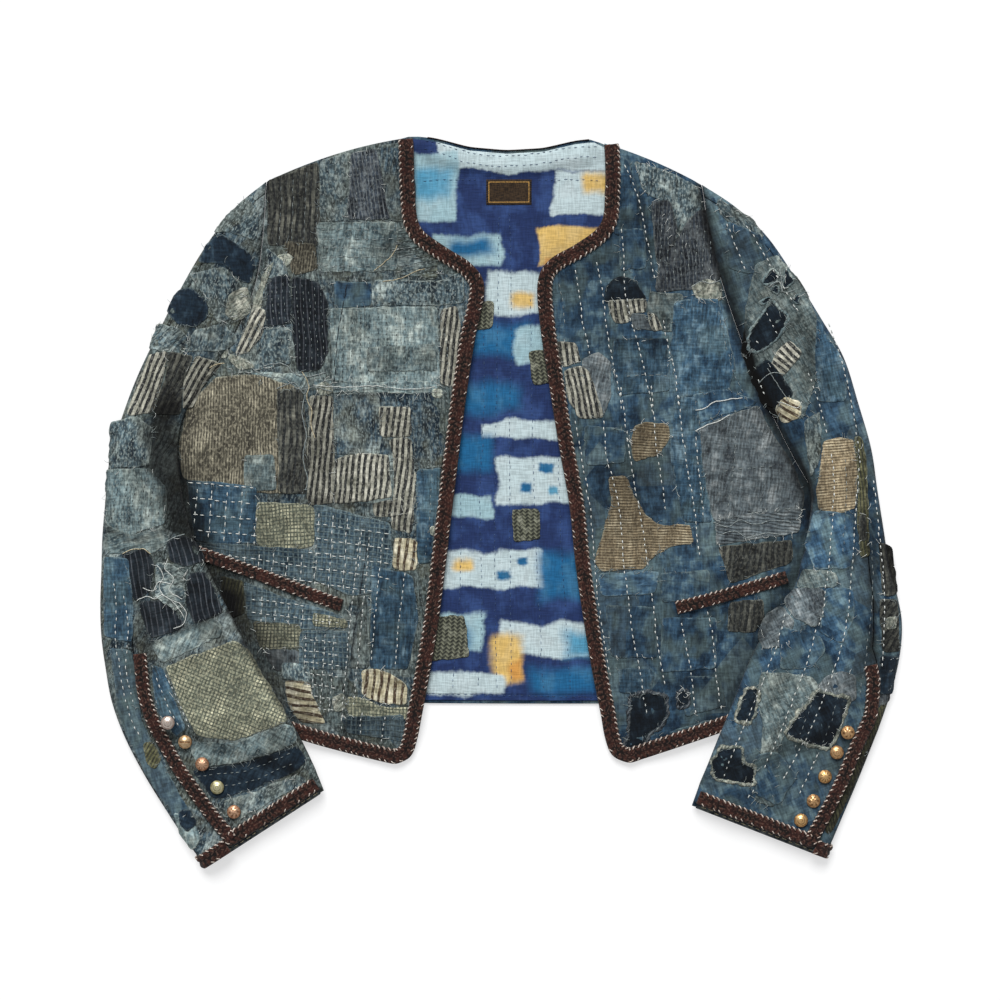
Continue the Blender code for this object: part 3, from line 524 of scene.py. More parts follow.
# Each cloth: its dark, middle and pale shades, then what its weave adds. A band is (pitch in mm,
# share of the pitch, shade, lift); across is the same the other way. fleck is the share of pale
# specks, pit how dark the painted shade in its pits is, slub how strongly the threads show with painted
# shade between them, cells how far its piecing differs.
clothTable = {
    "denim": {"shades": ((24, 38, 48), (64, 82, 92), (142, 154, 152)), "fleck": 0.5, "pit": 0.8,
        "slub": 0.8, "cells": 0.5, "ridge": 1.0, "earth": 0.5},
    "indigo": {"shades": ((22, 42, 60), (47, 73, 94), (94, 118, 128)), "fleck": 0.12, "pit": 0.32,
        "slub": 0.6, "cells": 0.3, "ridge": 0.35, "rows": 6.4, "dash": 0.2, "earth": 0.5,
        "stain": (86, 102, 98)},
    "boucle": {"shades": ((30, 42, 50), (80, 97, 103), (160, 172, 168)), "fleck": 0.6, "pit": 0.9,
        "slub": 0.5, "ridge": 0.6, "rows": 6.0, "earth": 0.4},
    "wash": {"shades": ((66, 84, 90), (114, 132, 134), (174, 186, 180)), "fleck": 0.35, "pit": 0.55,
        "slub": 0.8, "ridge": 0.6, "rows": 5.6, "earth": 0.3},
    "blue": {"shades": ((26, 48, 66), (54, 81, 100), (102, 126, 138)), "fleck": 0.14, "pit": 0.42,
        "slub": 0.8, "ridge": 0.5, "rows": 3.6, "dash": 0.3, "earth": 0.35, "stain": (84, 104, 104)},
    "navy": {"shades": ((9, 17, 25), (19, 32, 43), (44, 60, 72)), "fleck": 0.15, "pit": 0.3, "slub": 0.7},
    "pinstripe": {"shades": ((13, 18, 24), (26, 34, 41), (52, 61, 68)), "fleck": 0.2, "pit": 0.3,
        "slub": 0.8, "band": (5.4, 0.16, (88, 92, 98), 0.3)},
    "charcoal": {"shades": ((22, 27, 32), (50, 58, 66), (104, 110, 112)), "fleck": 0.5, "pit": 0.6,
        "slub": 0.8, "band": (3.6, 0.3, (88, 93, 96), 0.5)},
    "rib": {"shades": ((50, 48, 42), (104, 100, 86), (158, 152, 132)), "fleck": 0.6, "pit": 0.6,
        "slub": 0.7, "band": (2.7, 0.4, (70, 68, 58), -0.7)},
    "umber": {"shades": ((28, 29, 28), (62, 64, 60), (108, 108, 98)), "fleck": 0.4, "pit": 0.5,
        "slub": 0.8, "band": (5.8, 0.42, (36, 39, 40), -0.8), "ridge": 0.4, "rows": 5.8},
    "ticking": {"shades": ((136, 136, 122), (176, 175, 160), (212, 210, 194)), "fleck": 0.3, "pit": 0.6,
        "slub": 0.6, "band": (5.5, 0.52, (40, 43, 45), 0.3)},
    "cream": {"shades": ((146, 136, 108), (190, 182, 152), (220, 214, 190)), "fleck": 0.3, "pit": 0.4,
        "slub": 0.8, "band": (6.9, 0.4, (70, 56, 44), 0.3)},
    "tan": {"shades": ((104, 92, 72), (146, 132, 106), (184, 172, 144)), "fleck": 0.35, "pit": 0.4,
        "slub": 0.7, "across": (2.6, 0.42, (96, 84, 66), -0.9)},
    "check": {"shades": ((92, 96, 84), (146, 147, 125), (202, 199, 169)), "fleck": 0.4, "pit": 0.5,
        "slub": 0.6, "band": (3.3, 0.34, (92, 98, 86), -0.4), "across": (3.3, 0.34, (92, 98, 86), -0.4)},
    "plaid": {"shades": ((26, 44, 56), (58, 78, 90), (110, 128, 134)), "fleck": 0.3, "pit": 0.5,
        "slub": 0.8, "band": (4.7, 0.3, (92, 108, 112), 0.4), "across": (4.7, 0.26, (88, 104, 108), 0.4)},
    "grey": {"shades": ((58, 65, 70), (92, 102, 106), (140, 147, 148)), "fleck": 0.3, "pit": 0.4,
        "slub": 0.9, "ridge": 0.7, "rows": 3.2, "dash": 0.1},
    "olive": {"shades": ((54, 54, 38), (90, 90, 64), (134, 132, 100)), "fleck": 0.4, "pit": 0.5,
        "slub": 0.7, "band": (3.4, 0.4, (58, 60, 50), -0.5)},
    "raw": {"shades": ((92, 102, 98), (146, 152, 140), (206, 206, 190)), "fleck": 0.6, "pit": 0.9,
        "slub": 0.9, "earth": 0.3},
}


def clothMaterial(name):
    # three shades by slow wear noise, threads each way, bands, puckers, painted shade between threads and
    # in pits, pale specks, then the frayed rim
    cloth = clothTable[name]
    loom = Loom("cloth_" + name)
    dark, middle, pale = (dye(*shade) for shade in cloth["shades"])
    wear = loom.noise(38, 46, 3.0, 3.1)
    mottle = loom.noise(6.5, 8, 2.0, 7.7)
    wobble = loom.math("SUBTRACT", loom.noise(16, 30, 1.0, 1.3), 0.5)
    warp, weft = loom.noise(1.7, 13, 1.0, 5.2), loom.noise(13, 1.9, 1.0, 9.4)
    speck = loom.noise(1.9, 3.6, 1.0, 2.9)
    blotch = loom.noise(11, 17, 2.0, 6.6)
    slub = loom.plus(warp, weft)  # about 1 on the whole
    worn = loom.plus(loom.times(wear, 0.36), loom.times(mottle, 0.26))
    worn = loom.plus(worn, loom.times(blotch, 0.38))
    if "cells" in cloth:
        scale = {"Vector": loom.place, "Scale": (1 / 46, 1 / 54, 1.0)}
        cell = loom.node("ShaderNodeMapping", scale).outputs[0]
        piecing = loom.node("ShaderNodeTexVoronoi", {"Vector": cell, "Scale": 1.0, "Randomness": 0.8},
                            voronoi_dimensions="2D", distance="CHEBYCHEV")
        tone = loom.node("ShaderNodeSeparateColor", {0: piecing.outputs["Color"]})
        offset = loom.times(tone.outputs[0], 0.44 * cloth["cells"], -0.22 * cloth["cells"])
        worn = loom.plus(worn, offset)
    colour = loom.mix(loom.step(worn, 0.36, 0.50), dark, middle)
    colour = loom.mix(loom.step(worn, 0.50, 0.64), colour, pale)
    if "cells" in cloth:
        colour = loom.mix(loom.step(tone.outputs[1], 0.45, 0.8, 0.0, 0.9 * cloth["cells"]), colour,
                          dye(96, 104, 94))
    height = loom.times(slub, 0.5 * cloth["slub"])
    x, y = loom.axes()
    for key, along in (("band", x), ("across", y)):
        if key in cloth:
            pitch, share, shade, lift = cloth[key]
            band = loom.bands(along, pitch, share, wobble)
            band = loom.times(band, loom.step(mottle, 0.2, 0.42, 0.55, 1.0))
            colour = loom.mix(band, colour, dye(*shade))
            height = loom.times(band, lift, height)
    if "earth" in cloth:
        stain = loom.step(loom.noise(26, 32, 2.0, 4.9), 0.47, 0.66, 0.0, cloth["earth"])
        colour = loom.mix(stain, colour, dye(*cloth.get("stain", (94, 94, 78))))
    if "ridge" in cloth:
        # puckers between rows of fine stitches, strong in some places and weak in others, their colour
        # painted darker in each groove and lighter between as shade and highlight
        share = loom.step(loom.noise(28, 40, 1.0, 5.5), 0.38, 0.60, 0.1, cloth["ridge"])
        bend = loom.times(wobble, 2.6)
        groove = loom.times(loom.bands(x, cloth.get("rows", 5.0), 0.42, bend, 0.8), share)
        height = loom.times(groove, -1.3, height)
        colour = loom.scaled(colour, loom.times(groove, -0.44, 1.12))
        # and the stitches themselves, short pale dashes at the bottom of each pucker
        dash = loom.bands(loom.times(x, 0.37, y), 4.4, 0.42, bend, 0.3)
        dash = loom.times(loom.bands(x, cloth.get("rows", 5.0), 0.16, bend, 0.2), dash)
        dash = loom.times(dash, loom.times(share, cloth.get("dash", 0.8)))
        colour = loom.mix(dash, colour, pale)
        height = loom.times(dash, 0.9, height)
    # painted shade and highlight: darker between the threads and in the weave's pits, lighter on the
    # threads, the pits also sunk in the bump
    shadow = loom.step(slub, 0.72, 1.28, 1 - 0.42 * cloth["slub"], 1 + 0.34 * cloth["slub"])
    hollow = loom.step(loom.noise(2.8, 6.4, 2.0, 8.8), 0.36, 0.60, 1 - 0.5 * cloth["pit"],
                       1 + 0.2 * cloth["pit"])
    colour = loom.scaled(colour, loom.times(shadow, hollow))
    colour = loom.mix(loom.step(speck, 0.54, 0.66, 0.0, 0.8 * cloth["fleck"]), colour, pale)
    colour = loom.mix(loom.step(speck, 0.43, 0.31, 0.0, 0.6 * cloth["fleck"]), colour, dark)
    height = loom.times(speck, 0.8 * cloth["fleck"], height)
    height = loom.times(hollow, 0.8, height)
    # the rim frays only here and there, in the cloth's own pale thread
    rim = loom.times(loom.noise(2.6, 3.4, 1.0, 6.1), 4.4, loom.mark("rim"))
    frays = loom.step(rim, 2.0, 4.0, 0.6, 0.0)
    frays = loom.times(frays, loom.step(loom.noise(11, 11, 1.0, 2.6), 0.42, 0.62, 0.1, 1.0))
    thread = tuple(0.55 * c + 0.45 * g for c, g in zip(cloth["shades"][2], (150, 158, 148)))
    colour = loom.mix(frays, colour, dye(*thread))
    # the tone mark: each cloth's own tone plus painted shade along seams, creases, hollows and beside the
    # sleeves
    colour = loom.scaled(colour, loom.plus(loom.mark("tone"), 1.0))
    return loom.finish(colour, height, depth=0.75)


cloths = {name: clothMaterial(name) for name in clothTable}
print("stage 2: cloths woven")

# Body: back, lining and fronts

bodyCut = {"rowStep": 3.0, "backStep": 4.6, "frontColumns": 84, "backColumns": 130, "valley": 2.4}


def evenRows(line, step):
    # row numbers of a table that stand evenly along a line of its columns
    fine = np.linspace(0, len(line) - 1, 50 * len(line))
    at = travelled(alongTable(line, fine))
    return np.interp(np.linspace(0, at[-1], int(at[-1] / step) + 1), at, fine)


def fromSides(plan):
    # the distance to each of a grid's four sides, along its rows and columns
    near = []
    for axis in (0, 1):
        steps = np.linalg.norm(np.diff(plan[..., :2], axis=axis), axis=-1)
        nought = np.zeros_like(np.take(steps, [0], axis))
        at = np.cumsum(np.concatenate([nought, steps], axis), axis)
        near += [at, np.take(at, [-1], axis) - at]
    return near


def frontPlan(side):
    # rows from the open edge to the side seam and armhole, each with its bow
    table = frontRows[side]
    line = alongTable(table, evenRows(table[:, :2], bodyCut["rowStep"]))
    u = np.linspace(0, 1, bodyCut["frontColumns"])
    seam = seamPoint(side, np.clip(line[:, 2], 0, 2))
    plan = mixed(line[:, None, :2], seam[:, None, :], u[None, :, None])
    plan[..., 1] += line[:, 3:4] * 4 * u * (1 - u)
    return plan


def backPlan():
    # rows between both seams; the last ones swell up to the shoulder line and the neck
    table = frontRows["right"]
    along = np.clip(alongTable(table[:, 2:3], evenRows(table[:, :2], bodyCut["backStep"]))[:, 0], 0, 2)
    along[0], along[-1] = 0, 2
    u = np.linspace(0, 1, bodyCut["backColumns"])
    right, left = seamPoint("right", along), seamPoint("left", along)
    plan = mixed(right[:, None, :], left[:, None, :], u[None, :, None])
    tips = mixed(sides["right"]["tip"][1], sides["left"]["tip"][1], u)
    swell = ease((along[:, None] - 1.6) / 0.4)
    plan[..., 1] += (onOutline(plan[..., 0]) - tips) * swell * (u > 0) * (u < 1)
    plan[..., 1] += -3.0 * 4 * u * (1 - u) * ease(1 - along[:, None] / 0.3)
    return plan


def grid3(plan, z):
    # plan places with their heights
    return np.concatenate([plan, z[..., None]], -1)


# Hand-sewn running stitches: thread, stitch length, gap, width, then each line's places.
runTable = {
    "left_front": [
        ("white", 3.2, 2.8, 1.15, [
            [(168, 100), (172, 60), (178, 20), (183, -10), (188, -58)],
            [(142, 108), (147, 50), (152, 20), (156, -14)],
            [(113, 108), (117, 75), (125, 20), (130, -5), (135, -35), (139, -66)],
            [(97, 76), (100, 40), (108, 10), (113, -20), (116, -60), (120, -90), (123, -120), (128, -145),
                (135, -186), (138, -208)],
            [(70, 76), (76, 40), (83, 0), (86, -25), (91, -90), (95, -120), (100, -150), (104, -170)],
            [(143, -86), (146, -120), (150, -150), (156, -180)],
            [(170, -114), (174, -136), (179, -160), (184, -204)],
            [(195, -106), (200, -130), (203, -160), (208, -200)],
            [(116, 318), (124, 300), (131, 280), (137, 250), (141, 230), (146, 205)],
            [(114, 256), (116, 232), (117, 200), (122, 172), (130, 146), (136, 120), (141, 96),
                (143, 80)],
            [(90, 226), (96, 196), (100, 160), (106, 130), (112, 100), (114, 84)],
            [(70, 218), (74, 196), (77, 170), (81, 150), (84, 136)],
            [(152, 172), (160, 140), (166, 110), (168, 84)], [(184, 60), (188, 20), (192, -20)],
        ]),
        ("pale", 4.0, 3.0, 0.6, [
            [(54, 206), (58, 190), (60, 160)], [(118, 116), (140, 118), (160, 116)],
            [(156, 190), (176, 192), (190, 198)], [(206, 180), (212, 150), (220, 120), (232, 96)],
            [(208, 26), (240, 30), (262, 32)], [(214, -10), (220, 30), (222, 70)],
            [(244, -12), (250, 30), (246, 70)],
        ]),
    ],
    "left_sleeve": [
        ("white", 3.2, 3.0, 1.15, [
            [(312, 45), (313, 0), (310, -50), (306, -80), (303, -105), (293, -135), (285, -160),
                (274, -190), (262, -220), (248, -256)],
            [(337, 55), (338, 30), (335, -10), (333, -40), (330, -80), (327, -110), (320, -140),
                (312, -162), (296, -204), (280, -240), (266, -266)],
            [(268, -106), (262, -130), (252, -156), (242, -180), (230, -210), (218, -240), (210, -262)],
            [(250, 178), (256, 166), (262, 156)], [(240, 152), (246, 146)],
            [(243, 116), (247, 104), (252, 96)], [(230, 262), (246, 236), (262, 208), (282, 176)],
            [(214, 262), (222, 240), (232, 216)], [(310, 168), (322, 130), (330, 96), (336, 60)],
            [(290, 120), (300, 92), (308, 60)],
            [(352, 20), (356, -20), (360, -60), (362, -110), (360, -160)],
            [(300, -240), (288, -266), (280, -284)], [(240, -272), (232, -286)],
        ]),
        ("pale", 4.0, 3.0, 0.6, [
            [(324, 40), (325, 0), (322, -50)], [(350, -40), (351, -90), (346, -140), (338, -190)],
            [(292, -190), (276, -236)], [(320, -170), (304, -230), (290, -262)],
        ]),
    ],
    "right_front": [
        ("white", 3.0, 2.6, 1.0, [
            [(-91, -68), (-96, -110), (-100, -160)], [(-112, -36), (-117, -90), (-123, -156)],
            [(-134, -34), (-139, -80), (-145, -140), (-152, -222)],
            [(-124, -34), (-129, -90), (-135, -150), (-140, -200)],
            [(-109, -204), (-112, -218), (-114, -232)], [(-131, -200), (-133, -212), (-134, -226)],
        ]),
        ("dark", 7.0, 1.0, 0.8, [
            [(-144, 212), (-152, 170), (-156, 140), (-158, 104)],
            [(-125, -36), (-132, -80), (-138, -120), (-143, -160)],
        ]),
        ("pale", 3.2, 3.4, 0.6, [
            [(-80, 176), (-72, 120), (-66, 60), (-66, 0), (-72, -60)],
            [(-64, 196), (-52, 150), (-50, 110)], [(-110, 214), (-90, 190), (-86, 186)],
        ]),
    ],
    "right_sleeve": [
        ("white", 3.2, 3.4, 1.0, [
            [(-366, -76), (-363, -100), (-364, -128), (-360, -160), (-352, -200), (-340, -228)],
            [(-356, -90), (-352, -120), (-354, -160), (-346, -196)],
            [(-316, -162), (-300, -198), (-292, -216)], [(-326, -166), (-312, -196), (-302, -216)],
        ]),
        ("pale", 3.2, 3.2, 0.6, [
            [(-360, 60), (-350, 20), (-354, -24)], [(-344, 66), (-334, 24), (-338, -22)],
            [(-290, -262), (-240, -256), (-196, -238)], [(-276, -272), (-236, -266), (-196, -248)],
            [(-260, -288), (-230, -280), (-196, -262)],
        ]),
    ],
    "lining": [
        ("blue", 3.0, 3.0, 0.5, [
            [(-74, 341), (-58, 337), (-38, 330), (-18, 326), (0, 325), (20, 326), (40, 328), (60, 332),
                (92, 334)],
            [(-74, 332), (-56, 327), (-36, 320), (-16, 316), (0, 315), (20, 316), (40, 318), (60, 322),
                (92, 324)],
            [(-76, 302), (-40, 303), (-18, 302)], [(33, 302), (60, 303), (96, 302)],
            [(-74, -184), (0, -186), (90, -188)],
            [(-18, 200), (-16, 100), (-20, 0), (-18, -100), (-22, -180)],
            [(8, 274), (10, 160), (8, 40), (10, -180)], [(28, 190), (30, 60), (34, -60), (40, -180)],
            [(-2, 270), (-4, 120), (-6, -40), (-4, -182)], [(54, 40), (58, -60), (66, -180)],
            [(-40, 60), (-38, -60), (-46, -180)],
        ]),
    ],
}


def pulled(panel, x, y):
    # the cloth sinks along each running stitch and swells beside it
    places = [evenLine(line, 3.0) for thread, *_, lines in runTable[panel] if thread == "white"
              for line in lines]
    gap = nearest(x, y, np.concatenate(places))
    return 0.4 * np.exp(-(((gap - 6.5) / 3.0) ** 2)) - 0.75 * np.exp(-((gap / 2.8) ** 2))


maps, reliefs, panels = {}, {}, {}

# Soft areas painted lighter or darker: the cloth's own tone in some, painted shade in others, as in the
# hollows beside the sleeves and under the arms. x, y, reach in mm, change of tone
toneAndPaintedShadeTable = {
    "right_front": [(-215, 300, 50, -0.25), (-120, 300, 50, -0.1), (-140, 235, 40, 0.1),
        (-235, 80, 60, 0.12), (-230, -30, 60, -0.2), (-110, -140, 60, -0.25), (-130, -215, 60, -0.2),
        (-220, -120, 50, -0.1), (-60, -100, 60, -0.1), (-300, 10, 30, -0.35), (-250, -90, 40, -0.3),
        (-88, 134, 30, 0.25), (-88, 98, 24, 0.25), (-86, 10, 40, 0.34), (-112, -157, 16, 0.35),
        (-101, 236, 19, -0.6), (-190, -164, 16, 0.3)],
    "left_front": [(90, 150, 30, -0.3), (120, 240, 70, -0.34), (110, 20, 66, -0.36),
        (150, -140, 80, -0.15), (180, 150, 50, -0.05), (110, -200, 60, -0.15), (290, 0, 30, -0.3),
        (60, 190, 40, -0.2), (120, 60, 50, -0.1)],
    "right_sleeve": [(-232, -148, 20, -0.4), (-262, -150, 14, -0.3), (-290, -212, 26, 0.15),
        (-270, 230, 60, 0.0), (-300, 110, 60, -0.15), (-310, -80, 60, -0.2), (-350, -120, 40, -0.1),
        (-310, 40, 44, -0.55), (-306, -10, 30, -0.45), (-240, -270, 60, -0.1), (-350, 50, 50, 0.12),
        (-259, -118, 24, -0.4), (-209, -230, 26, -0.4), (-328, 150, 14, 0.3), (-297, 156, 14, -0.4),
        (-300, -300, 26, 0.35), (-237, 124, 14, 0.3)],
    "left_sleeve": [(250, 190, 60, -0.15), (310, 120, 50, -0.1), (300, 0, 50, -0.05),
        (230, -290, 60, -0.3), (272, -268, 44, -0.15), (300, -220, 50, -0.05), (362, -40, 40, -0.4),
        (366, -140, 44, -0.4), (352, -250, 46, -0.5), (334, -310, 40, -0.5), (308, -2, 22, 0.2),
        (223, -219, 26, 0.6), (316, 78, 24, 0.4), (310, -60, 60, 0.1), (290, -120, 60, 0.08)],
}


# Painted shade along seams, creases and stitch lines and in the valleys beside the sleeves: panels, reach
# in mm, change of tone at the line, and the line's places
grooveShadeTable = [
    (["right_front"], 34, -0.54, [(-306, -16), (-290, -44), (-262, -90), (-236, -138), (-208, -184),
        (-168, -262)]),
    (["left_front"], 30, -0.55, [(300, -28), (276, -78), (246, -130), (212, -190), (182, -270)]),
    (["right_front", "right_sleeve"], 26, -0.88, [(-316, 84), (-324, 62), (-318, 36), (-306, 12),
        (-298, -12), (-291, -36)]),
    (["right_front", "right_sleeve"], 7, -0.3, [(-222, 300), (-238, 240), (-258, 180), (-284, 120),
        (-308, 84)]),
    (["left_front", "left_sleeve"], 12, -0.8, [(188, 296), (199, 250), (210, 215), (219, 188), (227, 158),
        (236, 130)]),
    (["left_front", "left_sleeve"], 19, -0.88, [(240, 112), (247, 98), (255, 82), (268, 56), (281, 30),
        (292, 10), (296, -6)]),
    (["left_sleeve"], 9, -0.3, [(300, 176), (292, 140), (306, 110), (300, 84), (292, 60)]),
    (["left_sleeve"], 12, -0.42, [(334, 60), (346, 40), (351, 0), (352, -50), (350, -120), (348, -150)]),
    (["left_sleeve"], 10, -0.3, [(282, -66), (262, -92), (246, -130), (240, -146)]),
    (["right_sleeve"], 9, -0.35, [(-278, -58), (-262, -86), (-246, -116), (-226, -158), (-204, -196)]),
    (["right_sleeve"], 8, -0.3, [(-376, 20), (-372, 0), (-370, -30)]),
    (["right_front"], 3.2, -0.45, [(-146, 262), (-152, 205), (-159, 150), (-163, 104)]),
    (["right_front"], 3.2, -0.5, [(-127, -32), (-132, -80), (-138, -124), (-144, -180), (-148, -226)]),
    (["right_front"], 3.2, -0.4, [(-108, -30), (-113, -80), (-120, -130), (-124, -162)]),
    (["left_front"], 6, -0.3, [(120, 322), (132, 284), (138, 240), (142, 212)]),
    (["left_front"], 8, -0.25, [(150, -92), (176, -118), (190, -150), (186, -180)]),
    (["left_front"], 8, -0.22, [(100, -96), (126, -128), (132, -160)]),
    (["right_front"], 4, -0.55, [(-142, 262), (-139, 298), (-131, 317), (-117, 314), (-112, 296),
        (-114, 268)]),
    (["right_front"], 7, -0.35, [(-222, 244), (-205, 236), (-176, 240), (-172, 214)]),
    (["right_front"], 6, -0.35, [(-186, 100), (-187, 60), (-184, 6), (-150, -4), (-104, -4)]),
    (["right_front"], 6, -0.3, [(-200, 112), (-170, 100), (-116, 98)]),
    (["left_front"], 4, -0.5, [(146, 274), (154, 282), (163, 268), (167, 250), (160, 240), (150, 226)]),
    (["left_front"], 4, -0.35, [(56, 146), (76, 152), (104, 152), (136, 152), (160, 148)]),
    (["left_front"], 6, -0.3, [(204, -44), (240, -40), (284, -34)]),
    (["left_front"], 5, -0.3, [(212, 190), (222, 130), (216, 98)]),
    (["right_sleeve"], 6, -0.4, [(-374, 32), (-344, 34), (-322, 20), (-312, 0)]),
    (["right_sleeve"], 6, -0.35, [(-372, -30), (-346, -38), (-318, -30), (-296, -28)]),
    (["right_sleeve"], 6, -0.4, [(-336, -138), (-296, -122), (-256, -106)]),
    (["right_sleeve"], 6, -0.35, [(-326, -158), (-280, -146), (-240, -136)]),
    (["right_sleeve"], 7, -0.4, [(-294, -256), (-240, -248), (-192, -230)]),
    (["left_sleeve"], 5, -0.3, [(300, -12), (320, -16), (338, -10)]),
    (["left_sleeve"], 7, -0.3, [(250, 226), (258, 240), (262, 256)]),
]
grooveShades = {panel: [] for panel in runTable}
for grooved, reach, change, places in grooveShadeTable:
    for panel in grooved:
        grooveShades[panel].append((evenLine(places, min(4.0, reach / 2)), reach, change))


def nearest(x, y, places):
    # the distance to the closest of some places
    gap = np.full(np.shape(x), 1e9)
    for px, py in places:
        gap = np.minimum(gap, np.hypot(x - px, y - py))
    return gap


def shade(panel, x, y):
    # painted shade and tone: the sum of round areas and painted dark lines, each eased to nought at its
    # reach, and the relief's painted shade and highlight
    total = np.zeros(np.shape(x))
    for cx, cy, reach, change in toneAndPaintedShadeTable.get(panel, []):
        total += change * ease(1 - np.hypot(x - cx, y - cy) / reach / 1.3)
    for line, reach, change in grooveShades[panel]:
        total += change * ease(1 - nearest(x, y, line) / reach)
    # painted shade in the hollows of the cloth's relief and painted highlight on its ridges
    if panel in reliefs:
        total += np.clip(0.21 * heightAt(reliefs[panel], x, y), -0.38, 0.22)
    return np.maximum(total, -0.86)


backFlat = backPlan()
backRise = neckHeight(backFlat[..., 0], backFlat[..., 1])
backTop, backFoot = grid3(backFlat, backRise + pile["back"]), grid3(backFlat, backRise + 0.0)


def panelMarks(points, tone=0.0):
    # no frayed rim, one tone
    return {"rim": np.full(len(points), 30.0), "tone": np.full(len(points), tone)}


def addPanel(name, top, bottom, cloth, degrees, nodes, mark=None, material=None):
    # one cloth of the jacket, with the nodes it stands for
    points, faces = sheetMesh(top, bottom)
    marks = panelMarks(points)
    # the tone mark carries the panel's painted shade and tone
    if mark is not None:
        marks["tone"] = np.concatenate([mark.ravel(), mark.ravel()])
    piece = makePiece(name, points, faces, material or cloths[cloth],
                      weaveMap(points, degrees), marks)
    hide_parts(*nodes)
    panels[name] = piece
    return piece


addPanel("jacket_back", backTop[::2, ::3], backFoot[::2, ::3], "indigo", 2, ["back"])

# the lining lies on the back, 3 mm inside its edges, and is free to ripple between the fronts
liningCut = {"inset": 3.0, "inReach": 40}
liningFlat = backFlat.copy()
away = fromSides(backFlat)
for k, (axis, first, second) in enumerate([(0, 0, 1), (0, -1, -2), (1, 0, 1), (1, -1, -2)]):
    edge = np.take(backFlat, [first], axis)
    inner = np.take(backFlat, [second], axis)
    inward = unit(inner - edge)
    liningFlat += inward * liningCut["inset"] * ease(1 - away[k] / liningCut["inReach"])[..., None]
edgeOf = {}
for side in sides:
    fine = alongTable(frontRows[side], np.linspace(0, len(frontRows[side]) - 1, 600))
    order = np.argsort(fine[:, 1])
    edgeOf[side] = fine[order, :2]
lx, ly = liningFlat[..., 0], liningFlat[..., 1]
openRight = lx - np.interp(ly, edgeOf["right"][:, 1], edgeOf["right"][:, 0])
openLeft = np.interp(ly, edgeOf["left"][:, 1], edgeOf["left"][:, 0]) - lx
between = ease(np.minimum(openRight, openLeft) / 22) * ease(np.min(away, axis=0) / 18)
ripple = 0.9 + 0.9 * cloud(lx, ly * 0.45, 26, 15) + 0.5 * cloud(lx, ly, 13, 16)
ripple += 0.7 * crease(lx, ly * 0.5, 34, 17) + 0.25 * cloud(lx, ly, 6, 18)
liningRest = neckHeight(lx, ly) + pile["back"] + pile["gap"]
liningTop = grid3(liningFlat, liningRest + pile["lining"] + np.maximum(ripple, -0.3) * between)
maps["lining"] = heightMap(liningTop)

for side in sides:
    plan = frontPlan(side)
    hem, top, opening, seam = fromSides(plan)
    inside = np.minimum(np.minimum(hem, top), np.minimum(opening, seam))
    px, py = plan[..., 0], plan[..., 1]
    z = frontHeight(side, px, py, inside)
    z -= bodyCut["valley"] * (1 - ease(seam / 10)) + 0.5 * (1 - ease(np.minimum(top, opening) / 5))
    z += pulled(side + "_front", px, py) * ease(inside / 8) * (1 - underSleeve(side, px, py))
    foot = floorOfFront(py)
    frontTop = grid3(plan, z)
    maps[side + "_front"] = heightMap(frontTop)
    reliefs[side + "_front"] = hollowsOf(maps[side + "_front"])
    addPanel(side + "_front_panel", frontTop, grid3(plan, foot), "denim" if side == "right" else "indigo",
             -3, [side + "_front"], mark=shade(side + "_front", px, py))

print("stage 3: body laid out")

# Sleeves

sleeveCut = {"rowStep": 3.0, "upperColumns": 46, "stripColumns": 14, "underColumns": 44, "wall": 1.9,
             "foldWidth": 14.0, "armholeHeight": 7.0, "height": 11.6, "cuffHeight": 9.6, "seamGap": 0.4,
             "underReach": 4.2}


def sleeveRow(side):
    # even rows down a sleeve: curved folds, straight steps in the other columns
    table = sleeveRows[side]
    row = evenRows((table[:, :2] + table[:, 2:4]) / 2, sleeveCut["rowStep"])
    line = alongTable(table, row)
    line[:, 4:] = valuesAt(row, np.arange(len(table)), table[:, 4:])
    return row, line


def sleevePoints(side, row, line, s, over):
    # a place on a section: s from the outer fold in plan, over the top (1) or under the bottom (0)
    outer, inner = line[:, None, :2], line[:, None, 2:4]
    length = np.linalg.norm(inner - outer, axis=-1)
    share = s / length
    plan = outer + (inner - outer) * share[..., None]
    tip, pit = (np.array(sides[side][key], float) for key in ("tip", "pit"))
    bow = seamPoint(side, 2 - np.clip(share, 0, 1)) - (tip + (pit - tip) * share[..., None])
    fromTop = (1 - np.minimum(row / 4, 1))[:, None, None]
    plan = plan + (bow + np.array([sides[side]["sign"] * 0.6, 0])) * fromTop
    x, y = plan[..., 0], plan[..., 1]
    total = mixed(sleeveCut["armholeHeight"], sleeveCut["height"], ease(row / 5))
    total = mixed(total, sleeveCut["cuffHeight"], ease((row - 15) / 5))[:, None]
    middle = 4.2

    def crown(width):
        # a quarter of an ellipse at each fold and flat between
        near, far = np.clip(s / width, 0, 1), np.clip((length - s) / width, 0, 1)
        return np.sqrt(1 - (1 - near) ** 2) * np.sqrt(1 - (1 - far) ** 2)

    fromArmhole = np.linalg.norm(plan - seamPoint(side, 2 - np.clip(share, 0, 1)), axis=-1)
    full = ease(fromArmhole / 22)
    waves = 0.9 * cloud(x, y, 46, 21) + 0.7 * cloud(x, y, 20, 22) + 0.9 * crease(x, y * 0.7, 44, 23)
    small = 0.34 * cloud(x, y, 9, 24) + 0.22 * cloud(x, y, 5, 25)
    above = crown(sleeveCut["foldWidth"])
    top = middle + (total - middle + (waves + folds(x, y, sleeveFolds)) * full + small) * above
    top = top - bodyCut["valley"] * (1 - ease(fromArmhole / 8)) * above
    bottom = middle * (1 - crown(middle + 1.0))
    floor = sleeveFloor(side, x, y, line[:, None, 5]) + line[:, None, 6]
    return grid3(plan, floor + np.where(over, top, bottom))


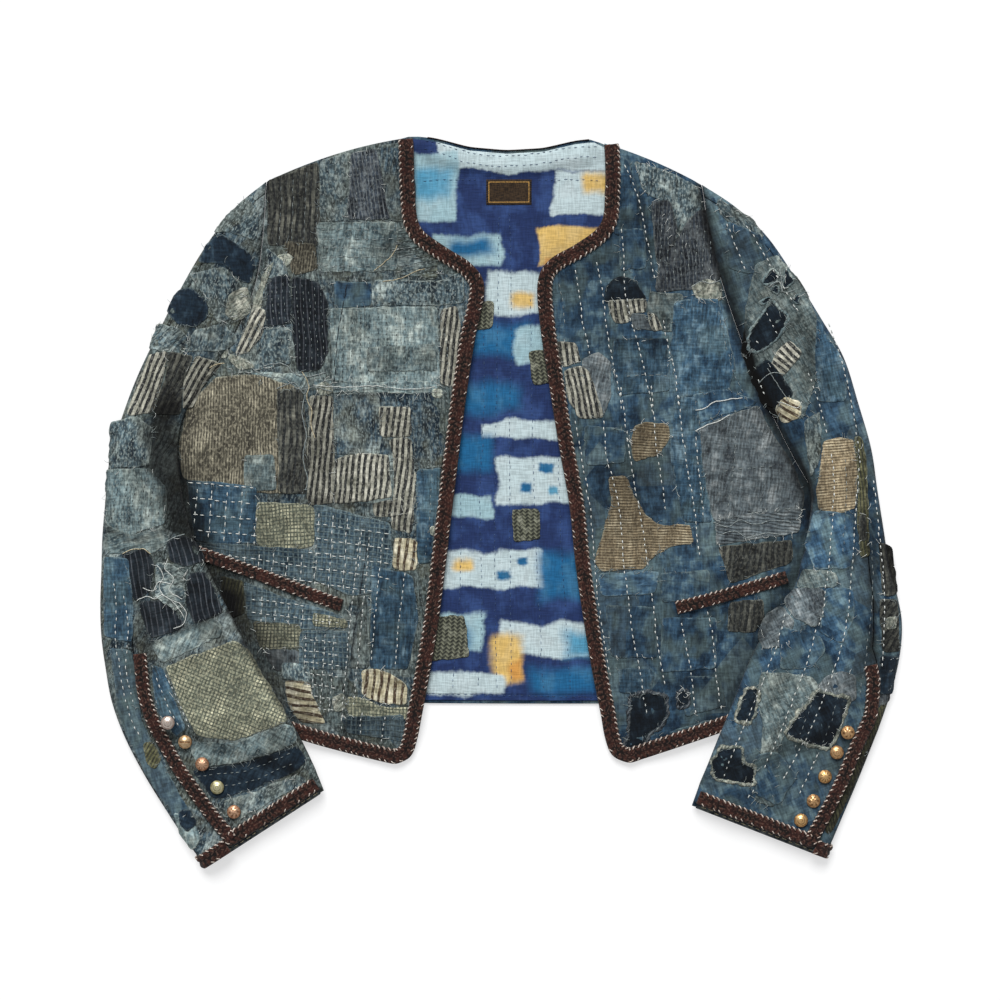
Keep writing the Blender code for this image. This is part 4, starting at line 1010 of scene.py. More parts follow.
def wallOf(grid, turn):
    # the inner face: the outer one moved in by the wall along each section's own normal
    d = np.gradient(grid, axis=1)
    flat = np.linalg.norm(d[..., :2], axis=-1)
    along = np.sum(d[..., :2] * (grid[:, -1:, :2] - grid[:, :1, :2]), -1)
    run = flat * np.sign(along) * turn
    size = np.sqrt(run**2 + d[..., 2] ** 2) + 1e-9
    across = grid[:, -1:, :2] - grid[:, :1, :2]
    across = unit(across, 1e-9) * turn
    normalSide, normalUp = -d[..., 2] / size, run / size
    normal = np.concatenate([across * normalSide[..., None], normalUp[..., None]], -1)
    return grid - sleeveCut["wall"] * normal


sleeveGrids = {}
for side in sides:
    row, line = sleeveRow(side)
    length = np.linalg.norm(line[:, :2] - line[:, 2:4], axis=1)[:, None]
    seam = line[:, 4:5]
    k = np.linspace(0, 1, sleeveCut["upperColumns"])
    s = seam + sleeveCut["seamGap"] + (length - seam - sleeveCut["seamGap"]) * (1 - (1 - k) ** 1.5)
    upper = sleevePoints(side, row, line, s, True)
    upper[..., 2] -= 0.9 * (1 - ease((s - seam) / 4))
    calm = ease((s - seam) / 8) * ease((length - s) / 12)
    upper[..., 2] += pulled(side + "_sleeve", upper[..., 0], upper[..., 1]) * calm
    k = np.linspace(0, 1, sleeveCut["stripColumns"])[:-1]
    first = (seam - sleeveCut["seamGap"]) * (1 - k) ** 1.5
    second = length * (1 - np.cos(np.pi * np.linspace(0, 1, sleeveCut["underColumns"]))) / 2
    strip = sleevePoints(side, row, line, first, True)
    strip[..., 2] -= 0.9 * (1 - ease((seam - first) / 4))
    low = sleevePoints(side, row, line, second, False)
    low[:, -1, 2] -= 0.4
    longer = []
    for part in (strip, low):
        past = part[-1] - part[-4]
        past = unit(past) * sleeveCut["underReach"]
        longer.append(np.concatenate([part, (part[-1] + past)[None]]))
    strip, low = longer
    under = np.concatenate([strip, low], 1)
    sleeveGrids[side] = {"upper": upper, "strip": strip, "under": under, "row": row, "line": line}
    degrees = 22 if side == "right" else -20
    cloth = "denim" if side == "right" else "indigo"
    maps[side + "_sleeve"] = heightMap(upper, strip)
    reliefs[side + "_sleeve"] = hollowsOf(maps[side + "_sleeve"])
    addPanel(side + "_sleeve_top", upper, wallOf(upper, 1), cloth, degrees, [side + "_upper_sleeve"],
             mark=shade(side + "_sleeve", upper[..., 0], upper[..., 1]))
    # under the sleeve the section turns back, so its wall is found from its two halves
    stripWall = wallOf(np.concatenate([strip, low[:, :1]], 1), 1)[:, :-1]
    lowWall = wallOf(low, -1)
    addPanel(side + "_sleeve_under", under, np.concatenate([stripWall, lowWall], 1), cloth, degrees,
             [side + "_under_sleeve"], mark=shade(side + "_sleeve", under[..., 0], under[..., 1]))
print("stage 4: sleeves laid out")

# Patches

# What is sewn on each panel: cloth, turn of its weave in degrees, how much lighter or darker than
# the plain cloth, how strongly its edge is frayed, and its corners in millimetres.
patchTable = {
    "right_front": [
        ("umber", 2, 0.0, 0.5, [(-222, 302), (-196, 311), (-173, 320), (-170, 262), (-174, 238),
            (-221, 240)]),
        ("boucle", 0, -0.1, 0.6, [(-172, 321), (-142, 329), (-140, 300), (-148, 262), (-171, 262)]),
        ("charcoal", -8, 0.42, 0.6, [(-142, 328), (-118, 333), (-104, 264), (-146, 264)]),
        ("denim", 4, -0.1, 0.5, [(-117, 334), (-88, 340), (-80, 290), (-84, 262), (-105, 263)]),
        ("wash", 6, -0.12, 1.0, [(-174, 262), (-98, 262), (-98, 216), (-172, 214)]),
        ("denim", 84, 0.05, 0.8, [(-99, 258), (-84, 256), (-60, 236), (-60, 208), (-98, 212)]),
        ("rib", 8, -0.3, 0.9, [(-206, 244), (-176, 242), (-172, 216), (-198, 212)]),
        ("raw", 10, 0.2, 1.0, [(-212, 232), (-197, 231), (-200, 221), (-211, 219)]),
        ("boucle", 10, 0.0, 0.8, [(-222, 238), (-206, 226), (-200, 210), (-222, 208)]),
        ("pinstripe", -4, 0.0, 0.7, [(-221, 209), (-199, 213), (-197, 166), (-223, 163)]),
        ("pinstripe", -2, -0.3, 0.7, [(-198, 211), (-172, 206), (-164, 188), (-163, 140), (-172, 121),
            (-192, 120), (-197, 150)]),
        ("indigo", 0, 0.02, 0.5, [(-158, 206), (-122, 206), (-122, 182), (-157, 180)]),
        ("boucle", 0, 0.06, 0.6, [(-121, 208), (-60, 206), (-36, 216), (-34, 186), (-60, 183),
            (-120, 183)]),
        ("wash", 0, -0.02, 0.7, [(-162, 180), (-60, 183), (-58, 104), (-160, 104)]),
        ("wash", 2, 0.08, 1.0, [(-178, 113), (-120, 111), (-60, 112), (-60, 99), (-110, 100),
            (-176, 102)]),
        ("wash", 3, -0.36, 0.7, [(-128, 143), (-62, 147), (-60, 122), (-126, 120)]),
        ("raw", 20, -0.12, 1.0, [(-214, 226), (-224, 204), (-228, 166), (-240, 148), (-236, 182),
            (-226, 214)]),
        ("boucle", 0, 0.0, 0.9, [(-224, 161), (-199, 163), (-198, 128), (-238, 120), (-256, 118),
            (-246, 142)]),
        ("ticking", 28, -0.12, 0.8, [(-234, 182), (-222, 180), (-225, 156), (-238, 138), (-252, 136),
            (-246, 156)]),
        ("wash", 30, 0.08, 0.9, [(-238, 120), (-182, 118), (-186, 104), (-222, 104)]),
        ("ticking", 6, -0.22, 0.5, [(-57, 180), (-41, 183), (-36, 146), (-45, 106), (-58, 108)]),
        ("rib", 2, 0.22, 0.6, [(-297, 88), (-270, 116), (-228, 118), (-188, 104), (-184, 50), (-184, 6),
            (-238, 6), (-302, 19), (-306, 50)]),
        ("umber", 2, 0.2, 0.5, [(-212, 104), (-188, 105), (-183, 60), (-184, 4), (-210, 6)]),
        ("wash", 4, -0.3, 0.5, [(-243, 42), (-214, 42), (-212, 8), (-243, 8)]),
        ("ticking", 6, -0.34, 0.6, [(-182, 98), (-159, 98), (-157, 40), (-158, -4), (-183, -6)]),
        ("denim", 2, 0.1, 0.9, [(-158, 100), (-116, 100), (-112, 72), (-114, 42), (-157, 42)]),
        ("ticking", 6, -0.06, 0.6, [(-158, 38), (-132, 44), (-106, 42), (-103, 2), (-130, -2),
            (-158, -4)]),
        ("ticking", 6, -0.08, 0.6, [(-116, 88), (-86, 88), (-84, 60), (-114, 58)]),
        ("ticking", 7, -0.2, 0.9, [(-106, 56), (-86, 60), (-80, 20), (-84, -32), (-104, -28),
            (-101, 40)]),
        ("ticking", 6, -0.3, 0.5, [(-122, -4), (-92, 2), (-90, -16), (-120, -17)]),
        ("denim", 0, 0.0, 0.6, [(-84, 100), (-54, 104), (-54, 30), (-82, 28)]),
        ("blue", 0, -0.15, 0.4, [(-80, 28), (-56, 30), (-66, -60), (-80, -62)]),
        ("blue", 2, 0.0, 0.5, [(-298, 18), (-266, 16), (-231, 12), (-230, -42), (-262, -44),
            (-290, -40)]),
        ("check", -3, 0.05, 0.7, [(-232, -2), (-178, -5), (-174, -18), (-177, -45), (-205, -49),
            (-231, -44)]),
        ("plaid", 5, 0.1, 0.5, [(-177, -4), (-104, -22), (-101, -84), (-140, -92), (-178, -76),
            (-176, -46)]),
        ("plaid", 4, 0.0, 0.5, [(-296, -40), (-232, -44), (-177, -48), (-177, -80), (-236, -66),
            (-284, -54)]),
        ("olive", 10, -0.15, 0.6, [(-266, -72), (-244, -78), (-242, -108), (-256, -114), (-264, -96)]),
        ("plaid", 4, 0.15, 0.6, [(-243, -78), (-200, -94), (-150, -110), (-148, -122), (-182, -124),
            (-240, -114)]),
        ("check", 2, -0.24, 0.8, [(-236, -116), (-190, -118), (-186, -140), (-228, -143)]),
        ("check", 4, -0.08, 0.6, [(-178, -106), (-146, -114), (-144, -122), (-178, -120)]),
        ("plaid", 0, 0.0, 0.5, [(-190, -124), (-144, -124), (-145, -162), (-192, -160)]),
        ("grey", 0, -0.25, 0.5, [(-226, -143), (-190, -142), (-192, -162), (-214, -162)]),
        ("cream", 8, 0.05, 0.7, [(-101, -36), (-79, -38), (-80, -68), (-102, -66)]),
        ("blue", 0, -0.05, 0.4, [(-122, -62), (-84, -72), (-78, -112), (-88, -162), (-124, -160)]),
        ("denim", 2, -0.05, 0.5, [(-144, -94), (-123, -90), (-125, -160), (-144, -160)]),
        ("boucle", 0, 0.25, 0.8, [(-208, -154), (-182, -156), (-180, -172), (-206, -171)]),
        ("cream", 99, 0.0, 0.7, [(-205, -171), (-181, -173), (-178, -186), (-165, -213), (-190, -212),
            (-202, -196)]),
        ("cream", 6, 0.16, 0.8, [(-132, -161), (-117, -160), (-99, -168), (-89, -178), (-89, -195),
            (-110, -194), (-131, -186)]),
        ("check", 3, 0.2, 0.8, [(-146, -186), (-132, -188), (-110, -197), (-86, -197), (-85, -208),
            (-146, -206)]),
        ("raw", 40, -0.2, 1.0, [(-160, -188), (-150, -182), (-146, -188), (-147, -200), (-158, -202)]),
        ("plaid", 3, -0.1, 0.5, [(-152, -206), (-92, -204), (-90, -230), (-146, -222)]),
        ("raw", 0, 0.1, 1.0, [(-66, 104), (-55, 105), (-54, 96), (-64, 95)]),
        ("raw", 30, 0.2, 1.0, [(-269, 147), (-261, 147), (-257, 140), (-261, 133), (-270, 134),
            (-273, 140)]),
        ("raw", -20, -0.12, 0.9, [(-258, 138), (-240, 133), (-232, 124), (-246, 122), (-258, 130)]),
        ("raw", 10, 0.05, 1.0, [(-176, 109), (-165, 111), (-158, 105), (-162, 98), (-175, 99)]),
        ("raw", 0, 0.1, 1.0, [(-68, -26), (-59, -25), (-60, -35), (-67, -34)]),
    ],
    "left_front": [
        ("boucle", 4, 0.08, 0.8, [(126, 320), (150, 313), (172, 304), (189, 294), (194, 262), (178, 240),
            (160, 244), (150, 282), (134, 290)]),
        ("indigo", 0, -0.12, 0.4, [(106, 328), (120, 322), (130, 290), (134, 250), (106, 250)]),
        ("charcoal", 4, 0.05, 0.5, [(141, 282), (160, 282), (168, 256), (152, 214), (146, 226)]),
        ("charcoal", -4, -0.05, 0.5, [(176, 262), (186, 274), (204, 276), (209, 236), (208, 208),
            (180, 198), (146, 196), (148, 222), (166, 246)]),
        ("indigo", 0, 0.2, 0.6, [(112, 256), (136, 256), (138, 218), (112, 216)]),
        ("wash", 0, -0.42, 0.6, [(140, 197), (172, 194), (170, 160), (152, 158), (138, 178)]),
        ("raw", 5, -0.15, 1.0, [(178, 202), (194, 208), (209, 206), (210, 188), (186, 188)]),
        ("blue", 2, 0.14, 0.6, [(164, 188), (206, 190), (214, 160), (222, 128), (216, 102), (166, 96),
            (160, 140)]),
        ("navy", 0, -0.25, 0.8, [(97, 186), (98, 198), (104, 207), (112, 211), (128, 207), (132, 197),
            (138, 190), (137, 186)]),
        ("ticking", -12, -0.08, 0.6, [(100, 188), (138, 190), (138, 176), (123, 176), (121, 166),
            (107, 166)]),
        ("grey", 0, -0.25, 0.6, [(122, 176), (136, 176), (146, 160), (124, 160)]),
        ("ticking", -16, -0.08, 0.7, [(137, 178), (146, 176), (155, 160), (143, 158)]),
        ("ticking", -12, -0.05, 0.7, [(52, 150), (71, 148), (76, 130), (57, 124)]),
        ("grey", 12, 0.1, 0.6, [(76, 132), (92, 140), (104, 130), (104, 96), (96, 76), (80, 80)]),
        ("ticking", -11, -0.1, 0.7, [(60, 122), (76, 127), (85, 120), (98, 77), (74, 75), (62, 96)]),
        ("blue", 0, -0.2, 0.5, [(106, 152), (158, 152), (160, 102), (110, 98), (104, 124)]),
        ("grey", 8, -0.1, 0.6, [(187, 68), (216, 80), (243, 89), (258, 62), (276, 34), (288, 4),
            (286, -10), (240, -13), (201, -21), (191, 20)]),
        ("indigo", -6, 0.2, 0.8, [(180, 100), (214, 104), (244, 92), (226, 84), (186, 72)]),
        ("grey", 96, 0.0, 0.9, [(202, -20), (240, -12), (285, -8), (283, -32), (238, -38), (204, -44)]),
        ("umber", 8, 0.08, 0.6, [(205, -45), (236, -42), (276, -38), (276, -60), (258, -66), (216, -80)]),
        ("umber", 4, 0.08, 0.6, [(216, -98), (248, -94), (250, -112), (240, -126), (214, -126)]),
        ("tan", 3, -0.06, 0.9, [(125, 68), (135, 73), (158, 72), (160, 58), (150, 42), (125, 35),
            (122, 50)]),
        ("tan", 1, -0.03, 0.9, [(101, 18), (105, 22), (118, 22), (123, 12), (128, 0), (137, -15),
            (152, -25), (180, -24), (182, -42), (160, -45), (142, -55), (135, -66), (95, -68), (88, -60),
            (95, -35), (104, -5)]),
        ("indigo", 92, 0.35, 0.8, [(92, -70), (150, -68), (146, -90), (94, -92)]),
        ("blue", 2, -0.05, 0.4, [(164, 98), (186, 96), (190, 40), (200, -22), (172, -22), (160, 40)]),
        ("indigo", 3, 0.15, 0.6, [(78, 70), (118, 66), (118, 34), (80, 32)]),
        ("indigo", 4, -0.1, 0.5, [(150, -70), (198, -66), (196, -92), (152, -98)]),
        ("indigo", 2, -0.08, 0.5, [(98, -100), (146, -102), (148, -150), (104, -150)]),
        ("indigo", 3, 0.12, 0.5, [(152, -112), (204, -112), (204, -160), (150, -164)]),
        ("blue", -2, -0.1, 0.5, [(110, -160), (146, -160), (142, -182), (112, -184)]),
        ("indigo", 0, -0.1, 0.4, [(172, -168), (206, -168), (214, -196), (174, -206)]),
        ("indigo", 0, 0.2, 0.6, [(126, -226), (160, -220), (200, -208), (198, -222), (150, -238)]),
    ],
    "right_sleeve": [
        ("boucle", 30, 0.1, 0.7, [(-236, 290), (-228, 266), (-232, 244), (-258, 254), (-274, 252),
            (-256, 274)]),
        ("navy", 0, 0.4, 0.7, [(-288, 224), (-280, 240), (-266, 253), (-257, 246), (-240, 236),
            (-232, 222), (-238, 204), (-247, 206), (-262, 222)]),
        ("boucle", 0, -0.05, 0.8, [(-296, 214), (-262, 220), (-246, 205), (-244, 176), (-268, 166),
            (-278, 186)]),
        ("navy", 4, 0.3, 0.7, [(-306, 199), (-292, 200), (-278, 187), (-277, 172), (-288, 162),
            (-305, 164), (-317, 178)]),
        ("raw", 60, -0.15, 1.0, [(-256, 196), (-240, 202), (-236, 178), (-250, 168), (-262, 174)]),
        ("boucle", 50, 0.1, 1.0, [(-326, 168), (-302, 160), (-292, 150), (-302, 136), (-334, 142)]),
        ("boucle", 10, 0.05, 0.8, [(-290, 160), (-262, 166), (-248, 150), (-262, 140), (-300, 140)]),
        ("ticking", 21, -0.08, 0.6, [(-354, 78), (-328, 82), (-318, 118), (-314, 140), (-332, 138),
            (-344, 110)]),
        ("umber", 26, 0.0, 0.5, [(-328, 80), (-303, 80), (-300, 108), (-290, 136), (-313, 140),
            (-317, 118)]),
        ("ticking", 30, -0.12, 0.6, [(-302, 84), (-290, 88), (-282, 108), (-264, 128), (-288, 136),
            (-299, 112)]),
        ("boucle", 10, 0.12, 0.8, [(-370, 74), (-342, 78), (-328, 66), (-332, 32), (-372, 28)]),
        ("wash", 0, 0.04, 0.7, [(-374, 28), (-330, 30), (-314, 8), (-316, -24), (-352, -34),
            (-375, -24)]),
        ("wash", 80, -0.14, 0.8, [(-374, -24), (-350, -34), (-318, -26), (-312, -40), (-330, -52),
            (-372, -52)]),
        ("pinstripe", -12, 0.0, 0.6, [(-358, -52), (-347, -48), (-333, -47), (-327, -62), (-330, -86),
            (-346, -98)]),
        ("pinstripe", -14, 0.15, 0.6, [(-316, -40), (-300, -33), (-288, -40), (-278, -58), (-296, -64),
            (-312, -58)]),
        ("pinstripe", -12, 0.0, 0.6, [(-295, -72), (-280, -67), (-268, -88), (-260, -107), (-290, -118),
            (-297, -95)]),
        ("pinstripe", -10, 0.0, 0.6, [(-342, -98), (-322, -94), (-305, -106), (-297, -120), (-330, -132),
            (-337, -118)]),
        ("boucle", 70, 0.3, 1.0, [(-326, -60), (-312, -60), (-297, -70), (-297, -98), (-306, -106),
            (-326, -92)]),
        ("wash", 24, -0.12, 0.9, [(-332, -136), (-296, -122), (-268, -112), (-262, -120), (-264, -132),
            (-270, -132), (-318, -154)]),
        ("check", 21, 0.1, 0.6, [(-316, -157), (-280, -143), (-250, -133), (-238, -142), (-220, -172),
            (-203, -200), (-200, -209), (-250, -227), (-286, -223), (-300, -196)]),
        ("blue", -22, 0.0, 0.5, [(-330, -156), (-318, -158), (-303, -196), (-297, -216), (-306, -226),
            (-326, -196)]),
        ("wash", 26, 0.05, 1.0, [(-296, -228), (-250, -230), (-204, -211), (-194, -214), (-192, -230),
            (-240, -248), (-286, -254)]),
        ("navy", 24, 0.25, 0.6, [(-292, -256), (-246, -250), (-192, -232), (-182, -246), (-194, -258),
            (-240, -276), (-272, -284)]),
        ("boucle", 24, 0.05, 0.8, [(-270, -287), (-238, -278), (-192, -260), (-182, -266), (-246, -302),
            (-262, -300)]),
        ("indigo", -14, -0.1, 0.5, [(-370, -140), (-349, -142), (-346, -196), (-322, -246), (-290, -302),
            (-302, -314), (-338, -258), (-362, -204)]),
        ("olive", 30, 0.0, 0.7, [(-338, -230), (-329, -228), (-321, -246), (-327, -256), (-336, -248)]),
        ("wash", -14, 0.0, 0.6, [(-310, -296), (-293, -302), (-282, -320), (-292, -334), (-304, -318)]),
        ("navy", 20, 0.3, 0.6, [(-305, -294), (-295, -292), (-287, -306), (-296, -316), (-304, -308)]),
        ("blue", -4, 0.0, 0.4, [(-376, -54), (-352, -56), (-347, -100), (-348, -136), (-376, -130)]),
    ],
    "left_sleeve": [
        ("boucle", -34, -0.3, 0.8, [(205, 285), (222, 277), (238, 266), (250, 250), (236, 240),
            (216, 262), (207, 270)]),
        ("indigo", -20, -0.1, 0.7, [(214, 264), (246, 250), (254, 228), (240, 212), (214, 220)]),
        ("wash", -30, -0.34, 0.8, [(240, 222), (262, 232), (288, 200), (300, 166), (300, 120), (286, 76),
            (262, 74), (240, 98), (228, 140), (232, 182)]),
        ("ticking", -50, 0.05, 0.6, [(253, 125), (262, 141), (273, 151), (285, 139), (273, 122),
            (262, 113)]),
        ("navy", -12, -0.3, 0.6, [(234, 104), (240, 124), (252, 133), (262, 122), (277, 99), (262, 86),
            (245, 90)]),
        ("cream", -60, 0.1, 0.8, [(258, 84), (268, 97), (284, 92), (283, 78), (268, 71)]),
        ("blue", -12, 0.0, 0.4, [(298, 172), (312, 150), (328, 126), (326, 92), (300, 92), (296, 130)]),
        ("boucle", -8, -0.1, 0.6, [(286, 74), (302, 84), (302, 40), (292, 20)]),
        ("tan", -4, 0.36, 0.9, [(304, 56), (320, 58), (334, 56), (337, 28), (335, -8), (318, -14),
            (299, -10), (297, 6)]),
        ("olive", -6, 0.1, 0.6, [(333, 60), (341, 60), (346, 36), (347, -8), (348, -54), (339, -56),
            (336, -14), (337, 26)]),
        ("umber", -6, 0.0, 0.5, [(338, -14), (345, -14), (346, -40), (338, -40)]),
        ("indigo", -18, 0.62, 0.4, [(296, -10), (330, -14), (334, -40), (330, -66), (296, -66),
            (286, -44)]),
        ("wash", -20, -0.36, 0.6, [(284, -66), (316, -68), (318, -82), (300, -84), (278, -84)]),
        ("grey", -24, 0.1, 0.7, [(276, -84), (304, -84), (306, -106), (296, -122), (276, -112),
            (266, -96)]),
        ("indigo", -22, 0.2, 0.5, [(306, -84), (332, -84), (334, -112), (322, -136), (300, -126)]),
        ("grey", -26, -0.1, 0.8, [(250, -108), (266, -100), (276, -116), (270, -138), (246, -142),
            (242, -126)]),
        ("indigo", -24, -0.12, 0.6, [(262, -120), (300, -128), (306, -142), (290, -160), (262, -160)]),
        ("wash", -22, -0.26, 0.9, [(244, -162), (292, -166), (300, -178), (276, -206), (262, -232),
            (258, -292), (240, -286), (244, -250), (246, -210), (240, -190)]),
        ("grey", -24, -0.1, 0.4, [(296, -178), (304, -166), (320, -161), (335, -166), (336, -190),
            (326, -192)]),
        ("olive", -14, -0.5, 0.5, [(366, -190), (358, -214), (345, -246), (333, -274), (320, -302),
            (310, -318), (304, -314), (316, -292), (330, -262), (343, -230), (352, -200)]),
        ("charcoal", -8, -0.3, 0.6, [(354, -196), (368, -192), (370, -160), (356, -158)]),
        ("umber", -4, -0.35, 0.6, [(356, -40), (370, -44), (376, -90), (360, -92)]),
        ("umber", 30, -0.15, 0.8, [(357, -94), (376, -94), (378, -145), (360, -144)]),
        ("raw", 10, -0.3, 1.0, [(362, -112), (374, -110), (374, -122), (364, -124)]),
        ("navy", -4, 0.1, 0.6, [(358, -148), (376, -148), (371, -186), (356, -184)]),
        ("indigo", -22, 0.1, 0.6, [(240, -240), (262, -238), (280, -262), (262, -290), (240, -280)]),
    ],
}

# Torn openings: the dark cloth shows in a frame of frayed threads. Panel, turn, the frame's
# cloth and tone, and corners.
tornTable = [
    ("left_front", -10, "charcoal", 0.1, 3.0, [(122, -186), (140, -182), (157, -188), (158, -204),
        (150, -216), (140, -222), (134, -240), (116, -238), (120, -226), (122, -208)]),
    ("left_front", 0, "charcoal", 0.2, 2.6, [(166, -182), (176, -181), (178, -194), (168, -197)]),
    ("left_sleeve", -30, "wash", -0.2, 1.6, [(247, 204), (253, 215), (258, 219), (262, 213), (261, 206),
        (254, 203)]),
    ("left_sleeve", -30, "wash", -0.2, 1.4, [(266, 198), (268, 210), (267, 217), (270, 219), (274, 212),
        (277, 206), (272, 201)]),
    ("left_sleeve", -30, "wash", -0.2, 1.2, [(255, 199), (261, 203), (264, 198), (262, 193), (257, 195)]),
    ("left_sleeve", -30, "wash", -0.2, 1.2, [(244, 186), (250, 191), (257, 192), (255, 187), (249, 184)]),
    ("left_sleeve", -30, "wash", -0.25, 1.0, [(275, 189), (281, 194), (283, 190), (280, 188), (284, 184),
        (278, 184)]),
    ("left_sleeve", -30, "wash", -0.15, 2.8, [(235, 141), (234, 152), (238, 163), (248, 176), (257, 188),
        (262, 181), (271, 173), (268, 163), (262, 152), (252, 143), (243, 139)]),
    ("left_sleeve", -20, "raw", -0.12, 3.2, [(231, -177), (241, -178), (240, -200), (234, -210),
        (220, -208), (224, -194)]),
    ("left_sleeve", -26, "raw", -0.12, 3.2, [(298, -180), (312, -184), (328, -189), (322, -208),
        (311, -236), (292, -232), (267, -221), (276, -206), (290, -190)]),
    ("left_sleeve", -24, "raw", -0.12, 3.2, [(206, -234), (227, -234), (228, -249), (239, -252),
        (239, -270), (222, -268), (202, -264), (198, -248)]),
]

tornCut = {"step": 1.6, "rough": 0.4, "tone": -0.2, "thick": 0.15, "fray": 1.1}
patchCut = {"step": 2.6, "ring": 4.2, "thick": 0.5, "rise": 0.2, "edge": 0.8, "knit": 0.9}


def closedOutline(corners, step, rough, seed):
    # even places round the corners, each corner eased, then moved in and out by a fraying noise
    corners = np.array(corners, float)
    loop = np.concatenate([corners, corners[:1]])
    at = travelled(loop)
    count = max(12, int(at[-1] / step))
    wanted = np.linspace(0, at[-1], count, endpoint=False)
    line = valuesAt(wanted, at, loop)
    for _ in range(2):
        line = (np.roll(line, 1, 0) + 2 * line + np.roll(line, -1, 0)) / 4
    out = outwardOf(line)
    x, y = line[:, 0], line[:, 1]
    jag = 0.7 * cloud(x, y, 9, seed) + rough * cloud(x, y, 3.6, seed + 1)
    return line + out * jag[:, None]


def outwardOf(line):
    # each place's own normal, away from the middle of a closed line
    run = np.roll(line, -1, 0) - np.roll(line, 1, 0)
    area = (line[:, 0] * np.roll(line[:, 1], -1) - np.roll(line[:, 0], -1) * line[:, 1]).sum()
    normal = np.stack([run[:, 1], -run[:, 0]], -1) * np.sign(area)
    return unit(normal, 1e-9)


def middleOf(line):
    # the centre of the area inside a closed line
    x, y = line[:, 0], line[:, 1]
    cross = x * np.roll(y, -1) - np.roll(x, -1) * y
    area = cross.sum() / 2
    totals = [((place + np.roll(place, -1)) * cross).sum() for place in (x, y)]
    return np.array(totals) / (6 * area)


def patchShell(line, panel, degrees, tone, thick, seed):
    # rings shrunk from the outline to the middle, over the panel's height; an upper and an under face
    heights = maps[panel]
    middle = middleOf(line)
    reach = np.linalg.norm(line - middle, axis=1).mean()
    first = [0.0, 0.7, 1.8]
    inner = np.linspace(1.8, reach * 0.96, max(2, int(reach / patchCut["ring"])))[1:]
    t = 1 - np.concatenate([first, inner]) / reach
    plan = middle + (line - middle)[None] * t[:, None, None]
    tangent = unit(np.roll(line, -1, 0) - np.roll(line, 1, 0))
    span = np.abs((line - middle)[:, 0] * tangent[:, 1] - (line - middle)[:, 1] * tangent[:, 0])
    rim = (1 - t)[:, None] * span[None]
    base = heightAt(heights, plan[..., 0], plan[..., 1])
    pucker = 0.3 * cloud(plan[..., 0], plan[..., 1], 6, seed + 3) * ease(rim / 4)
    z = base + patchCut["rise"] + thick * np.sqrt(ease((rim + 0.25) / patchCut["edge"])) + pucker
    top, low = grid3(plan, z), grid3(plan, base + patchCut["rise"] * 0.4)
    rows, count = len(t), len(line)
    side = gridFaces(rows, count, closed=True)
    shell = np.concatenate([top.reshape(-1, 3), low.reshape(-1, 3)])
    under = rows * count
    i = np.arange(count)
    j = (i + 1) % count
    wall = np.stack([i, i + under, j + under, j], -1)
    quads = np.concatenate([side[:, ::-1], side + under, wall[:, ::-1]])
    crown = heightAt(heights, *middle) + patchCut["rise"] + thick + 0.3 * cloud(*middle, 6, seed + 3)
    peak = np.array([[*middle, crown], [*middle, low[-1, :, 2].mean()]])
    last = (rows - 1) * count
    fan = np.stack([np.full(count, 2 * under), last + j, last + i], -1)
    base = np.stack([np.full(count, 2 * under + 1), last + i + under, last + j + under], -1)
    triangles = np.concatenate([fan, base])
    points = np.concatenate([shell, peak])
    quads, triangles = outward(points, quads, triangles)
    # tone: the patch's own tone plus the painted shade and tone of the panel under it
    marks = {"rim": np.concatenate([rim.ravel(), rim.ravel(), [30, 30]]),
             "tone": tone + shade(panel, points[:, 0], points[:, 1])}
    return top, (points, quads, triangles, weaveMap(points, degrees, seed=seed), marks)


def frayBand(line, heights, width, tone, seed):
    # a low frayed rim along a closed outline: a rounded section of seven points, its edges ragged
    out = outwardOf(line)
    x, y = line[:, 0], line[:, 1]
    inner = -0.6 - 1.5 * np.abs(cloud(x, y, 2.7, seed))
    outer = width * (0.7 + 0.5 * cloud(x, y, 4.4, seed + 1) + 0.3 * cloud(x, y, 2.1, seed + 2))
    share = np.array([0, 0.12, 0.45, 0.8, 1.0, 0.8, 0.2])
    lift = np.array([0.1, 0.9, 1.25, 0.75, 0.15, 0.05, 0.05])
    offset = mixed(inner[:, None], outer[:, None], share)
    plan = line[:, None] + out[:, None] * offset[..., None]
    px, py = plan[..., 0], plan[..., 1]
    z = heightAt(heights, px, py) + lift * (1 + 0.25 * cloud(px, py, 2.2, seed + 5))
    points = grid3(plan, z)
    flat = points.reshape(-1, 3)
    quads = outward(flat, gridFaces(*points.shape[:2], closed=True, ring=True))[0]
    weave = weaveMap(flat, 35, seed=seed)
    return points[:, :5], (flat, quads, np.zeros((0, 3), int), weave, panelMarks(flat, tone))


